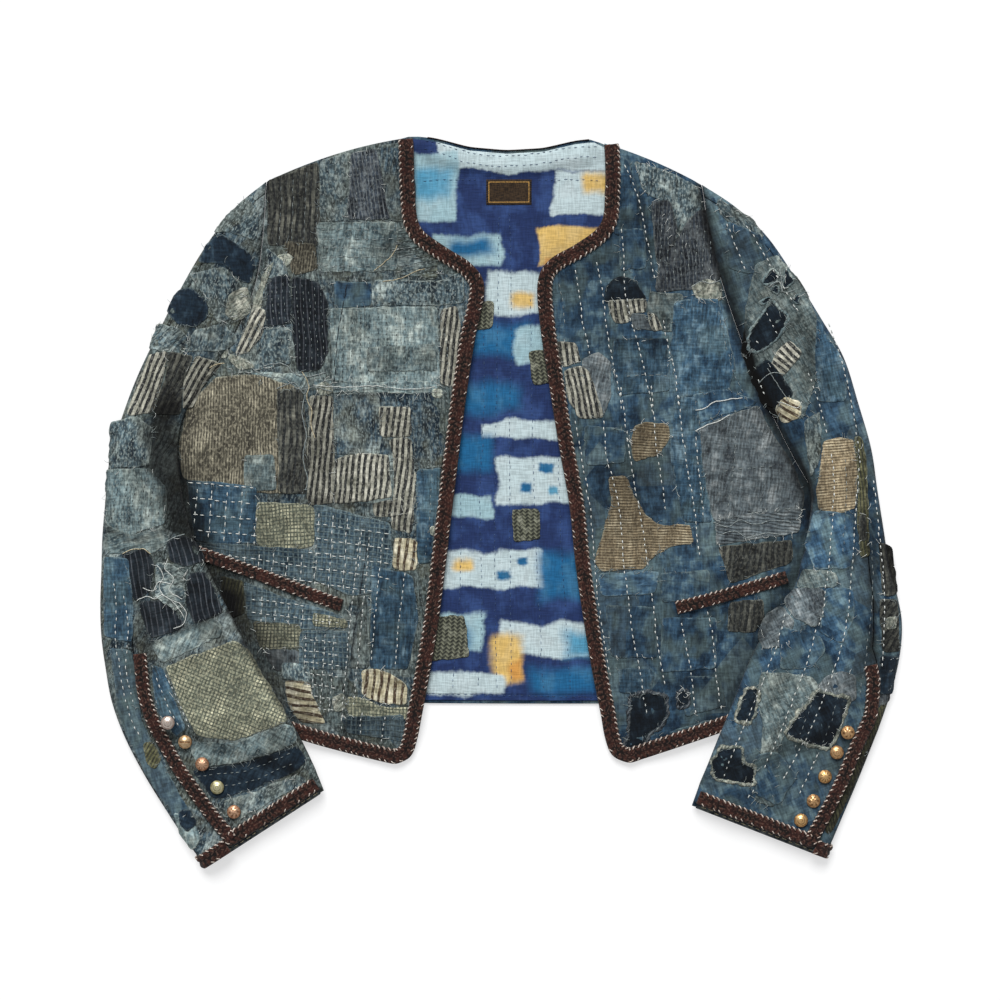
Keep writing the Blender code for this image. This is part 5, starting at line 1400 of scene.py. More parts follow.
sewnOn = {key: [] for key in ["right_front", "left_front", "right_sleeve", "left_sleeve", "lining"]}
outlines = {key: [] for key in sewnOn}
seed = 100
for panel, rows in patchTable.items():
    byCloth = {}
    for cloth, degrees, tone, fray, corners in rows:
        seed += 10
        line = closedOutline(corners, patchCut["step"], 0.9 * fray, seed)
        top, shell = patchShell(line, panel, degrees, tone, patchCut["thick"], seed)
        raiseMap(maps[panel], np.concatenate([top, top[:, :1]], 1), 5)
        byCloth.setdefault(cloth, []).append(shell)
        outlines[panel].append((line, fray))
    for tornPanel, degrees, frameCloth, frameTone, frameWidth, corners in tornTable:
        if tornPanel != panel:
            continue
        seed += 10
        line = closedOutline(corners, tornCut["step"], tornCut["rough"], seed)
        top, shell = patchShell(line, panel, degrees, tornCut["tone"], tornCut["thick"], seed)
        byCloth.setdefault("navy", []).append(shell)
        band, ring = frayBand(line, maps[panel], frameWidth, frameTone, seed + 4)
        raiseMap(maps[panel], np.concatenate([band, band[:1]]), 5)
        byCloth.setdefault(frameCloth, []).append(ring)
        outlines[panel].append((line, tornCut["fray"]))
    for cloth, parts in byCloth.items():
        name = panel + "_" + cloth + "_patches"
        addPiece(name, parts, cloths[cloth])
        sewnOn[panel].append(name)
print("stage 5:", sum(map(len, outlines.values())), "patches sewn on")

# Stitches and loose threads

def threadMaterial(name, first, second):
    # twisted cotton: two shades in short slubs
    loom = Loom(name)
    twist = loom.noise(1.1, 3.0, 1.0, 4.4)
    colour = loom.mix(loom.step(twist, 0.35, 0.65), dye(*first), dye(*second))
    return loom.finish(colour, twist, rough=0.85, depth=0.2)


threads = {
    "white": threadMaterial("thread_white", (198, 204, 200), (240, 242, 236)),
    "pale": threadMaterial("thread_pale", (118, 130, 134), (168, 176, 172)),
    "dark": threadMaterial("thread_dark", (18, 22, 30), (36, 42, 50)),
    "cream": threadMaterial("thread_cream", (172, 158, 126), (230, 218, 186)),
    "silver": threadMaterial("thread_silver", (160, 140, 126), (236, 224, 212)),
    "blue": threadMaterial("thread_blue", (40, 62, 104), (80, 104, 140)),
}


def prismTubes(path, radius, flat=1.0):
    # three-sided tubes, all with the same number of stations: path is (tubes, stations, 3)
    run = np.gradient(path, axis=1)
    side = unit(np.stack([-run[..., 1], run[..., 0], np.zeros(run.shape[:2])], -1), 1e-9)
    up = np.array([0.0, 0.0, 1.0])
    corners = [path + side * radius[..., None] * c + up * radius[..., None] * h * flat
               for c, h in ((0.0, 1.0), (-0.87, -0.5), (0.87, -0.5))]
    points = np.stack(corners, 2)  # tube, station, corner
    tubes, stations = path.shape[:2]
    i = np.arange(tubes * stations * 3).reshape(tubes, stations, 3)
    j = np.roll(i, -1, 2)
    quads = np.stack([i[:, :-1], j[:, :-1], j[:, 1:], i[:, 1:]], -1).reshape(-1, 4)
    ends = np.concatenate([i[:, 0, ::-1], i[:, -1]]).reshape(-1, 3)
    flatPoints = points.reshape(-1, 3)
    quads, ends = outward(flatPoints, quads, ends)
    return flatPoints, quads, ends, weaveMap(flatPoints), panelMarks(flatPoints)


def insideOutline(x, y, outline):
    # how many edges a ray to the right crosses: odd is inside
    ax, ay = np.asarray(outline, float).T
    bx, by = np.roll(ax, -1), np.roll(ay, -1)
    x, y = x[..., None], y[..., None]
    crosses = (ay > y) != (by > y)
    at = ax + (y - ay) * (bx - ax) / np.where(by == ay, 1e-9, by - ay)
    return (crosses & (x < at)).sum(-1) % 2 == 1


def dashes(line, length, gap, seed):
    # starts and ends of running stitches along one line, a little uneven
    at = travelled(line)
    rng = np.random.default_rng(seed)
    start = np.arange(gap * rng.uniform(0.2, 1.0), at[-1] - length, length + gap)
    start = start + rng.uniform(-0.5, 0.5, len(start))
    end = start + length * rng.uniform(0.8, 1.15, len(start))
    ends = [valuesAt(s, at, line) for s in (start, end)]
    sway = rng.normal(0, 0.35, (len(start), 2))
    return ends[0] + sway, ends[1] + sway


def gridLines(corners, degrees, pitch, inset=1.5):
    # straight lines at this pitch across an outline, in pieces of 1 mm steps that are inside it
    corners = np.array(corners, float)
    middle = corners.mean(0)
    c, s = math.cos(math.radians(degrees)), math.sin(math.radians(degrees))
    along, across = np.array([s, c]), np.array([c, -s])
    reach = np.linalg.norm(corners - middle, axis=1).max()
    lines = []
    for offset in np.arange(-reach + 0.5 * pitch, reach, pitch):
        step = np.arange(-reach, reach, 1.0)
        line = middle + across * offset + along * step[:, None]
        keep = insideOutline(line[:, 0], line[:, 1], middle + (corners - middle) * (1 - inset / reach))
        if keep.sum() > 6:
            lines.append(line[keep])
    return lines


# Sashiko fields: panel, thread, turn, pitch, stitch length, gap, width and the field's corners.
fieldTable = [
    ("right_front", "white", 4, 14.4, 4.2, 3.0, 1.0, [(-299, 18), (-231, 13), (-230, -46), (-288, -40)]),
    ("right_front", "white", 95, 14.8, 4.2, 3.0, 1.0, [(-299, 18), (-231, 13), (-230, -46), (-288, -40)]),
    ("right_front", "white", 4, 13.6, 4.2, 3.0, 0.95, [(-290, -46), (-232, -50), (-177, -50), (-176, -12),
        (-138, -14), (-128, -30), (-138, -92), (-176, -86), (-232, -66)]),
    ("right_front", "white", 98, 13.8, 4.2, 3.0, 0.95, [(-290, -46), (-232, -50), (-177, -50),
        (-176, -12), (-104, -24), (-102, -84), (-138, -92), (-176, -86), (-232, -66)]),
    ("right_front", "white", 3, 13.0, 3.6, 3.0, 0.9, [(-240, -84), (-198, -96), (-150, -112),
        (-148, -124), (-186, -122), (-240, -116)]),
    ("right_front", "white", 97, 12.4, 3.6, 3.0, 0.9, [(-240, -84), (-198, -96), (-150, -112),
        (-148, -124), (-186, -122), (-240, -116)]),
    ("right_front", "white", 4, 8.8, 3.2, 2.6, 0.85, [(-190, -124), (-148, -124), (-154, -204),
        (-172, -204), (-188, -170)]),
    ("right_front", "white", 97, 10.6, 3.2, 2.6, 0.85, [(-190, -124), (-148, -124), (-154, -204),
        (-172, -204), (-188, -170)]),
    ("right_front", "pale", -3, 5.6, 2.6, 3.6, 0.5, [(-196, 206), (-172, 202), (-165, 186), (-164, 140),
        (-173, 122), (-192, 121), (-197, 150)]),
    ("right_front", "pale", -4, 5.6, 2.6, 3.6, 0.5, [(-221, 206), (-200, 210), (-198, 167), (-222, 164)]),
    ("right_front", "pale", 2, 11.6, 5.0, 2.6, 0.45, [(-217, 298), (-196, 308), (-174, 316), (-171, 262),
        (-175, 240), (-220, 242)]),
    ("right_front", "dark", 0, 8.4, 2.0, 3.2, 0.6, [(-158, 178), (-88, 180), (-86, 150), (-88, 104),
        (-156, 106)]),
    ("right_front", "pale", 3, 7.4, 2.6, 3.4, 0.6, [(-166, 320), (-119, 332), (-117, 268), (-164, 264)]),
    ("right_front", "pale", 90, 8.6, 5.0, 3.0, 0.7, [(-174, 262), (-84, 258), (-64, 236), (-78, 216),
        (-172, 216)]),
    ("right_front", "dark", 88, 9.4, 2.4, 3.4, 0.6, [(-120, 208), (-78, 212), (-42, 220), (-36, 186),
        (-118, 184)]),
    ("right_front", "pale", 2, 9.0, 2.6, 3.6, 0.6, [(-222, 159), (-200, 161), (-199, 130), (-250, 120),
        (-244, 142)]),
    ("left_front", "dark", 3, 8.0, 2.2, 3.4, 0.6, [(114, 320), (146, 312), (184, 292), (188, 262),
        (152, 284), (120, 286)]),
    ("left_front", "pale", 3, 6.8, 3.4, 3.0, 0.55, [(144, 276), (162, 280), (198, 256), (206, 214),
        (148, 200)]),
    ("right_sleeve", "dark", 12, 8.6, 2.2, 3.4, 0.6, [(-370, 18), (-330, 24), (-318, 6), (-320, -16),
        (-352, -28), (-371, -20)]),
    ("right_sleeve", "pale", 24, 8.6, 2.4, 3.6, 0.6, [(-292, 212), (-262, 216), (-248, 204), (-246, 178),
        (-268, 170), (-276, 190)]),
]


def laidStitches(first, last, heights, width):
    # three stations: both ends sunk into the cloth and the middle standing proud of it
    middle = (first + last) / 2
    line = np.stack([first, middle, last], 1)
    z = heightAt(heights, line[..., 0], line[..., 1])
    z = z + np.array([-0.1, 0.45, -0.1]) + 0.25 * width
    z[:, 1] = np.maximum(z[:, 1], (z[:, 0] + z[:, 2]) / 2 + 0.3)
    radius = np.full(line.shape[:2], width * 0.62) * np.array([0.7, 1.0, 0.7])
    return prismTubes(grid3(line, z), radius, 0.75)


sewing = {}


def sew(panel, thread, mesh):
    # each panel gathers its stitches by thread
    sewing.setdefault((panel, thread), []).append(mesh)


for panel, groups in runTable.items():
    for thread, length, gap, width, lines in groups:
        for k, places in enumerate(lines):
            first, last = dashes(evenLine(places, 1.0), length, gap, 500 + 7 * k)
            sew(panel, thread, laidStitches(first, last, maps[panel], width))
for n, (panel, thread, degrees, pitch, length, gap, width, corners) in enumerate(fieldTable):
    for k, line in enumerate(gridLines(corners, degrees, pitch)):
        first, last = dashes(line, length, gap, 900 + 31 * n + k)
        if len(first):
            sew(panel, thread, laidStitches(first, last, maps[panel], width))


def archedStitches(first, last, z, lifts, radius):
    # three stations, each with its own lift over the same ground
    places = zip((first, (first + last) / 2, last), lifts)
    path = np.stack([grid3(place, z + lift) for place, lift in places], 1)
    return prismTubes(path, np.full(path.shape[:2], radius))


looseCut = {"between": 7, "radius": 0.3}


def looseThreads(line, heights, count, reach, seed):
    # curved strands from an outline outwards, lying on the cloth with their ends lifted a little
    rng = np.random.default_rng(seed)
    at = rng.integers(0, len(line), count)
    out = outwardOf(line)[at]
    turn = np.arctan2(out[:, 1], out[:, 0]) + rng.normal(0, 0.9, count)
    bend = rng.normal(0, 0.16, count)
    length = rng.uniform(0.35, 1.0, count) * reach
    steps = np.linspace(0, 1, 5)
    heading = turn[:, None] + bend[:, None] * length[:, None] * steps
    stride = (length / 4)[:, None, None] * np.stack([np.cos(heading), np.sin(heading)], -1)
    start = line[at] - out * rng.uniform(0.5, 2.5, count)[:, None]
    path = start[:, None] + np.cumsum(stride, 1) - stride[:, :1]
    ground = heightAt(heights, path[..., 0], path[..., 1])
    z = ground + 0.3 + 0.5 * steps * rng.uniform(0, 1, (count, 1))
    lies = np.abs(np.diff(ground, axis=1)).max(1) < 2.2  # none that would hang over the cloth's edge
    path, z = path[lies], z[lies]
    return prismTubes(grid3(path, z), np.full(z.shape, looseCut["radius"]) * (1 - 0.5 * steps))


seed = 3000
for panel, lines in outlines.items():
    for line, fray in lines:
        seed += 1
        around = travelled(line)[-1]
        count = int(around * fray * fray / looseCut["between"])
        if count:
            thread = "pale" if seed % 3 else "white"
            sew(panel, thread, looseThreads(line, maps[panel], count, 5 + 4 * fray, seed))

# Long strands of torn cloth: panel, thread, radius, places
strandTable = [
    ("right_front", "cream", 0.55, [(-188, 120), (-182, 108), (-184, 96), (-179, 84), (-180, 70),
        (-176, 58)]),
    ("right_front", "pale", 0.6, [(-224, 126), (-206, 128), (-194, 118), (-180, 116), (-166, 120)]),
    ("right_front", "pale", 0.5, [(-212, 104), (-196, 110), (-186, 100), (-182, 112)]),
    ("right_sleeve", "cream", 0.6, [(-254, 122), (-260, 128), (-268, 128), (-276, 124)]),
    ("right_sleeve", "white", 0.5, [(-344, -96), (-334, -92), (-326, -94), (-318, -90), (-306, -100),
        (-298, -112)]),
    ("right_sleeve", "white", 0.5, [(-338, -84), (-328, -86), (-322, -78), (-310, -80)]),
    ("right_sleeve", "white", 0.45, [(-314, -56), (-316, -66), (-308, -74), (-312, -86), (-300, -94)]),
    ("right_sleeve", "white", 0.45, [(-324, -62), (-318, -72), (-322, -84), (-312, -94), (-302, -98)]),
    ("right_sleeve", "white", 0.5, [(-302, -98), (-296, -108), (-300, -118), (-308, -122)]),
    ("right_sleeve", "cream", 0.5, [(-358, -52), (-350, -48), (-338, -47), (-330, -52)]),
    ("right_sleeve", "pale", 0.5, [(-318, -42), (-308, -36), (-298, -33)]),
    ("left_front", "white", 0.6, [(184, 84), (192, 86), (202, 92), (214, 94), (228, 96)]),
    ("left_front", "white", 0.6, [(184, 64), (194, 70), (206, 74), (216, 80)]),
    ("left_front", "pale", 0.5, [(180, 200), (188, 206), (198, 204), (208, 208)]),
    ("left_front", "pale", 0.5, [(202, -22), (214, -26), (226, -20), (240, -24), (256, -20), (276, -22)]),
    ("left_front", "pale", 0.5, [(206, -34), (220, -30), (234, -36), (250, -32), (270, -34)]),
    ("left_sleeve", "pale", 0.45, [(252, 124), (258, 114), (266, 102), (272, 92)]),
    ("left_sleeve", "pale", 0.45, [(244, 110), (250, 116), (258, 120), (268, 118)]),
    ("left_sleeve", "white", 0.45, [(262, 92), (270, 90), (280, 86), (284, 92)]),
    ("right_front", "pale", 0.6, [(-186, 98), (-188, 80), (-184, 60), (-187, 40), (-183, 20), (-185, 8)]),
    ("right_front", "pale", 0.5, [(-236, 124), (-222, 116), (-206, 114), (-190, 104), (-176, 106),
        (-160, 102)]),
    ("right_front", "white", 0.45, [(-178, 108), (-150, 106), (-120, 107), (-90, 104), (-62, 106)]),
    ("right_front", "cream", 0.45, [(-120, 216), (-110, 224), (-102, 232), (-98, 240)]),
    ("right_front", "cream", 0.45, [(-112, 206), (-98, 208), (-84, 214), (-72, 218)]),
    ("left_sleeve", "pale", 0.5, [(256, 200), (262, 206), (268, 196), (278, 198)]),
    ("left_sleeve", "pale", 0.8, [(253, 200), (258, 204), (264, 206)]),
    ("left_sleeve", "pale", 0.8, [(264, 218), (265, 208), (266, 196)]),
]
for panel, thread, radius, places in strandTable:
    line = evenLine(places, 1.2)
    sway = [cloud(line[:, 0], line[:, 1], 4, n) for n in (61, 62)]
    line = line + 0.5 * np.stack(sway, -1)
    z = heightAt(maps[panel], line[:, 0], line[:, 1]) + 0.4 + 0.3 * cloud(line[:, 0], line[:, 1], 5, 63)
    path = grid3(line, z)[None]
    sew(panel, thread, prismTubes(path, np.full(path.shape[:2], radius)))

for (panel, thread), parts in sewing.items():
    name = panel + "_" + thread + "_threads"
    addPiece(name, parts, threads[thread])
    sewnOn[panel].append(name)
print("stage 6:", len(sewing), "kinds of stitching")

# Braid

braidCut = {
    "width": 13.4,
    "height": 3.1,
    "step": 1.4,
    "plait": 5.2,
    "lip": 0.55,
    "whipPitch": 5.5,
    "whips": (0.78, 0.55),
    "pocket": (11.6, 2.7),
    "cuff": (12.2, 3.0),
    "neck": (12.4, 2.4),
}
bindingCut = {"size": (6.4, 1.5), "step": 1.6, "inset": 2.4, "ends": 6, "stitches": (4.2, 2.6),
              "thread": 0.55}


def movedIn(line, distance, toward):
    # each place moved along its own normal, to the side where this place is
    run = np.gradient(line, axis=0)
    normal = unit(np.stack([-run[:, 1], run[:, 0]], -1), 1e-9)
    facing = np.sign(((np.asarray(toward, float) - line) * normal).sum(1).mean())
    return line + normal * facing * distance, -normal * facing


def softened(values, times):
    # each value averaged with its neighbours, the ends held
    for _ in range(times):
        padded = np.concatenate([values[:1], values, values[-1:]])
        values = (padded[:-2] + 2 * padded[1:-1] + padded[2:]) / 4
    return values


def braidMesh(line, out, up, near, far, lip, size):
    # a section carried along a line: plaited top, rounded sides, and a lip over the cloth's edge.
    # out points to the cloth's edge; near, far and lip are heights along up on its two sides
    s = travelled(line)[:, None]
    width, height = size
    half = width / 2
    v = np.array([-1, -0.97, -0.82, -0.6, -0.35, -0.12, 0.12, 0.35, 0.6, 0.82, 0.97]) * half
    rise = np.array([0.1, 0.6, 0.86, 0.96, 0.98, 0.9, 0.9, 0.98, 0.96, 0.86, 0.7]) * height
    drift = 0.22 * cloud(s + 0 * v, v * 2 + 0 * s, 9.0, 73)
    plait = np.abs(np.sin(np.pi * (s / braidCut["plait"] - np.abs(v) / half * 0.4 + 0.5 * (v > 0) + drift)))
    plait = plait * (1 - 0.7 * np.exp(-((v / half / 0.2) ** 2)) * np.ones_like(s))
    rise = rise + 0.42 * height * (plait - 0.6) * (np.abs(v) < half * 0.9)
    rise = rise + 0.3 * cloud(s + 0 * v, v * 3 + 0 * s, 2.4, 71)
    rise[:, 0] = near + 0.06
    lipEnd = far + 0.06 if lip is None else lip
    edge = half * 1.07
    v = np.concatenate([v, [edge, edge, edge - braidCut["lip"], edge - braidCut["lip"], 0.0]])
    extra = [np.full(len(line), 0.45 * height), lipEnd, lipEnd + 0.02, far + 0.06, np.full(len(line), 0.02)]
    h = np.concatenate([rise, np.stack(extra, 1)], 1)
    points = line[:, None] + out[:, None] * v[None, :, None] + up[:, None] * h[..., None]
    rows, count = points.shape[:2]
    flat, quads, triangles = capped(points, np.concatenate([points[:1].mean(1), points[-1:].mean(1)]))
    grid = [np.broadcast_to(field, (rows, count)) for field in (v, s)]
    weave = np.stack(grid, -1).reshape(-1, 2)
    weave = np.concatenate([weave, weave[:2]]) * 0.001
    # how far each point lies down between the plait's crests, which the braid's material paints as shade
    groove = np.concatenate([1 - plait, np.full((rows, 5), 0.5)], 1).ravel()
    marks = {"rim": np.concatenate([groove, [0.5, 0.5]]), "tone": np.zeros(len(flat))}
    return flat, quads, triangles, weave, marks


def whipMesh(line, out, up, near, far, size, seed):
    # slanted stitches over both edges: from the cloth, over the shoulder, onto the braid
    s = travelled(line)
    rng = np.random.default_rng(seed)
    half, height = size[0] / 2, size[1]
    tubes = []
    for side, cloth, radius in zip((-1, 1), (near, far), braidCut["whips"]):
        start = np.arange(2.0, s[-1] - 4, braidCut["whipPitch"])
        start = start + rng.uniform(-0.7, 0.7, len(start))
        if side > 0:
            start = start[rng.uniform(0, 1, len(start)) < 0.55]
        places = []
        for k, (v, lift) in enumerate(((1.05, 0.3), (0.98, 0.85), (0.86, 1.08), (0.7, 1.12))):
            at = start + (k - 1.5) * 1.15 * side
            there = [valuesAt(at, s, field) for field in (line, out, up)]
            h = mixed(np.interp(at, s, cloth) + 0.1, height * lift, 0.0 if k == 0 else 1.0)
            places.append(there[0] + there[1] * v * half * side + there[2] * np.reshape(h, (-1, 1)))
        path = np.stack(places, 1)
        tubes.append(prismTubes(path, np.full(path.shape[:2], radius)))
    return tubes


def braidMaterial():
    # soft brown wool with painted shade in the plait's grooves, so paler on its crests, with a fine twist
    # across each strand
    loom = Loom("braid_brown")
    twist, wear = loom.noise(1.0, 2.6, 1.0, 3.3), loom.noise(14, 18, 2.0, 8.1)
    groove = loom.mark("rim")
    colour = loom.mix(loom.step(groove, 0.15, 0.62), dye(64, 37, 29), dye(12, 8, 7))
    colour = loom.mix(loom.step(wear, 0.4, 0.7, 0.0, 0.5), colour, dye(74, 36, 28))
    colour = loom.mix(loom.step(twist, 0.4, 0.65, 0.0, 0.6), colour, dye(20, 12, 11))
    colour = loom.mix(loom.step(loom.noise(1.5, 2.2, 0.0, 6.4), 0.6, 0.7, 0.0, 0.3), colour,
                      dye(128, 98, 84))
    return loom.finish(colour, twist, rough=0.95, depth=0.5, sheen=0.12)


brown = braidMaterial()


def addBraid(name, line, out, up, near, far, lip=None, size=None, seed=0):
    # the braid and the thread that whips it down
    size = size or (braidCut["width"], braidCut["height"])
    piece = addPiece(name, [braidMesh(line, out, up, near, far, lip, size)], brown)
    whips = whipMesh(line, out, up, near, far, size, 40 + seed)
    addPiece(name + "_whipping", whips, threads["silver"])
    return piece, [name, name + "_whipping"]


def layBraid(name, places, toward, heights, lip=None, up=1, seed=0, soft=8, size=None):
    # places is the cloth's edge or, with nothing to move toward, the braid's own middle line;
    # up is 1 on the seen side and -1 on the side that the jacket lies on
    size = size or (braidCut["width"], braidCut["height"])
    line = softened(evenLine(places, braidCut["step"], rounded=False), soft)
    if toward is not None:
        line, out = movedIn(line, size[0] / 2, toward)
    else:
        run = np.gradient(line, axis=0)
        out = unit(np.stack([run[:, 1], -run[:, 0]], -1))
    ground = []
    for v in np.linspace(-0.5, 0.5, 5) * size[0]:
        place = line + out * v
        ground.append(softened(heights(place[:, 0], place[:, 1]), 4))
    ground = np.stack(ground, 1)
    crest = softened(ground.max(1) if up > 0 else ground.min(1), 6)
    edge = line + out * size[0] / 2
    level = None if lip is None else (lip(edge[:, 0], edge[:, 1]) - crest) * up
    flatOut = np.concatenate([out, np.zeros((len(out), 1))], 1)
    upward = np.tile(np.array([0.0, 0.0, float(up)]), (len(line), 1))
    near, far = (ground[:, 0] - crest) * up, (ground[:, 4] - crest) * up
    return addBraid(name, grid3(line, crest), flatOut, upward, near, far, level, size, seed)


def onMap(name):
    # a panel's own height at a place
    return lambda x, y: heightAt(maps[name], x, y)


trim = {key: [] for key in ["right_front", "left_front", "right_sleeve", "left_sleeve", "back"]}
pocketLines = {"right": [(-290, -49), (-240, -67), (-195, -84), (-149, -101)],
               "left": [(164, -103), (200, -94), (236, -84), (272, -73)]}
ventTops = {"right": -142, "left": -152}
for n, side in enumerate(sides):
    grid = frontPlan(side)
    edge = np.concatenate([grid[::-1, 0], grid[0, 1:]])
    middle = grid[grid.shape[0] // 2, grid.shape[1] // 2]
    piece, names = layBraid(side + "_front_edge_braid", edge, middle, onMap(side + "_front"),
                            lip=lambda x, y: floorOfFront(y) + 0.3, seed=n)
    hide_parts(side + "_front_braid")
    trim[side + "_front"] += names
    piece, names = layBraid(side + "_pocket_edge_braid", evenLine(pocketLines[side], 4), None,
                            onMap(side + "_front"), seed=4 + n, size=braidCut["pocket"])
    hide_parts(side + "_pocket_braid")
    trim[side + "_front"] += names

    # down the vent to the corner, then along the cuff, where the lip turns over the edge
    upper, under = sleeveGrids[side]["upper"], sleeveGrids[side]["under"]
    vent = upper[upper[:, 0, 1] < ventTops[side], 0, :2]
    cuffEdge = upper[-1, :-1, :2]
    inner = upper[-12, 22, :2]

    def cuffLip(x, y, cuffEdge=cuffEdge, side=side):
        gap = np.min(np.hypot(x[:, None] - cuffEdge[None, :, 0], y[:, None] - cuffEdge[None, :, 1]), axis=1)
        return heightAt(maps[side + "_sleeve"], x, y) + mixed(-1.7, 0.1, ease((gap - 2) / 3))

    piece, names = layBraid(side + "_cuff_edge_braid", np.concatenate([vent[:-1], cuffEdge]), inner,
                            onMap(side + "_sleeve"), lip=cuffLip, seed=8 + n, soft=12,
                            size=braidCut["cuff"])
    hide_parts(side + "_cuff_braid")
    trim[side + "_sleeve"] += names

    # round the under sleeve's own edge: over the strip beside the vent, the outer fold and below
    last, before = under[-1], under[-4]
    toEdge = unit(last - before)
    ring = last - toEdge * braidCut["width"] / 2
    at = travelled(ring)
    wanted = np.linspace(0.5, at[-1] - 7, int(at[-1] / braidCut["step"]))
    line, out = (valuesAt(wanted, at, field) for field in (ring, toEdge))
    run = np.gradient(line, axis=0)
    up = unit(np.cross(run, out) * -sides[side]["sign"])
    level = np.zeros(len(line))
    piece, names = addBraid(side + "_under_cuff_edge_braid", line, out, up, level, level, level - 1.8,
                            seed=12 + n)
    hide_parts(side + "_under_cuff_braid")
    trim[side + "_sleeve"] += names

    # its turned-in side, which shows as a dark line below the upper sleeve
    low, edgeOut = (field[sleeveCut["stripColumns"] - 1:] for field in (under[-1], toEdge))
    at = travelled(low)
    keep = (at > bindingCut["ends"]) & (at < at[-1] - bindingCut["ends"])
    low, edgeOut = low[keep], edgeOut[keep]
    hemLine = low - edgeOut * bindingCut["inset"] + np.array([0, 0, sleeveCut["wall"]])
    at = travelled(hemLine)
    wanted = np.linspace(0, at[-1], int(at[-1] / bindingCut["step"]))
    line, out = (valuesAt(wanted, at, field) for field in (hemLine, edgeOut))
    upward = np.tile(np.array([0.0, 0.0, 1.0]), (len(line), 1))
    level = np.zeros(len(line))
    mesh = braidMesh(line, out, upward, level, level, None, bindingCut["size"])
    addPiece(side + "_cuff_binding", [mesh], cloths["charcoal"])
    first, second = dashes(line[:, :2] + out[:, :2] * 0.6, *bindingCut["stitches"], 77 + n)
    order = np.argsort(line[:, 0])
    z = np.interp(first[:, 0], line[order, 0], line[order, 2])
    mesh = archedStitches(first, second, z, (1.5, 2.1, 1.5), bindingCut["thread"])
    addPiece(side + "_cuff_binding_stitches", [mesh], threads["cream"])
    trim[side + "_sleeve"] += [side + "_cuff_binding", side + "_cuff_binding_stitches"]

# round the back of the neck, on the side that the jacket lies on
neckX = np.linspace(neckEnds[0] + 7, neckEnds[1] - 7, 90)
neckEdge = np.stack([neckX, onOutline(neckX)], -1)
piece, names = layBraid("neck_edge_braid", softened(neckEdge, 6), (7, 200), lambda x, y: neckHeight(x, y),
                        lip=lambda x, y: neckHeight(x, y) + 3.4, up=-1, seed=20, size=braidCut["neck"])
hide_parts("back_neck_braid")
trim["back"] += names
print("stage 7: braid laid on", len(trim), "panels")

# Lining

# Dyed blocks on navy, first to last: x, y, width, height in millimetres, softness, dye
dyes = {"pale": (192, 210, 213), "aqua": (158, 190, 198), "teal": (28, 98, 144), "sky": (84, 152, 184),
        "yellow": (222, 186, 110), "orange": (208, 150, 76), "navy": (34, 52, 98)}
dyeBlocks = [
    (30, 328, 180, 34, 1.6, "pale"), (-70, 296, 56, 66, 2.2, "aqua"), (-64, 300, 34, 30, 7, "sky"),
    (86, 290, 74, 40, 1.8, "pale"), (94, 300, 30, 16, 5, "yellow"), (72, 240, 76, 36, 2.0, "yellow"),
    (60, 226, 40, 8, 3, "orange"), (-34, 236, 66, 30, 2.4, "aqua"), (-30, 240, 40, 16, 6, "teal"),
    (14, 196, 52, 40, 2.4, "pale"), (20, 190, 18, 14, 4, "yellow"), (-4, 152, 60, 30, 8, "teal"),
    (32, 146, 40, 34, 2.6, "aqua"), (-12, 96, 60, 24, 8, "teal"), (24, 66, 90, 16, 2.0, "pale"),
    (-30, 44, 44, 34, 7, "teal"), (34, 18, 76, 44, 2.4, "pale"), (46, 28, 13, 10, 2, "teal"),
    (22, 10, 11, 9, 2, "teal"), (50, 8, 10, 8, 2, "sky"), (-34, -8, 52, 22, 2.2, "aqua"),
    (-16, -66, 110, 36, 2.2, "pale"), (-36, -60, 18, 12, 4, "yellow"), (2, -70, 10, 9, 2, "teal"),
    (20, -60, 9, 8, 2, "teal"), (62, -72, 56, 44, 8, "teal"), (-48, -126, 66, 34, 2.4, "aqua"),
    (-50, -130, 44, 24, 8, "teal"), (48, -134, 96, 32, 2.4, "pale"), (76, -138, 34, 24, 7, "sky"),
    (6, -152, 26, 44, 5, "yellow"), (12, -164, 14, 18, 4, "orange"), (-38, -174, 76, 20, 2.4, "pale"),
    (60, -172, 66, 20, 7, "teal"), (0, -195, 220, 9, 1.5, "navy"),
]


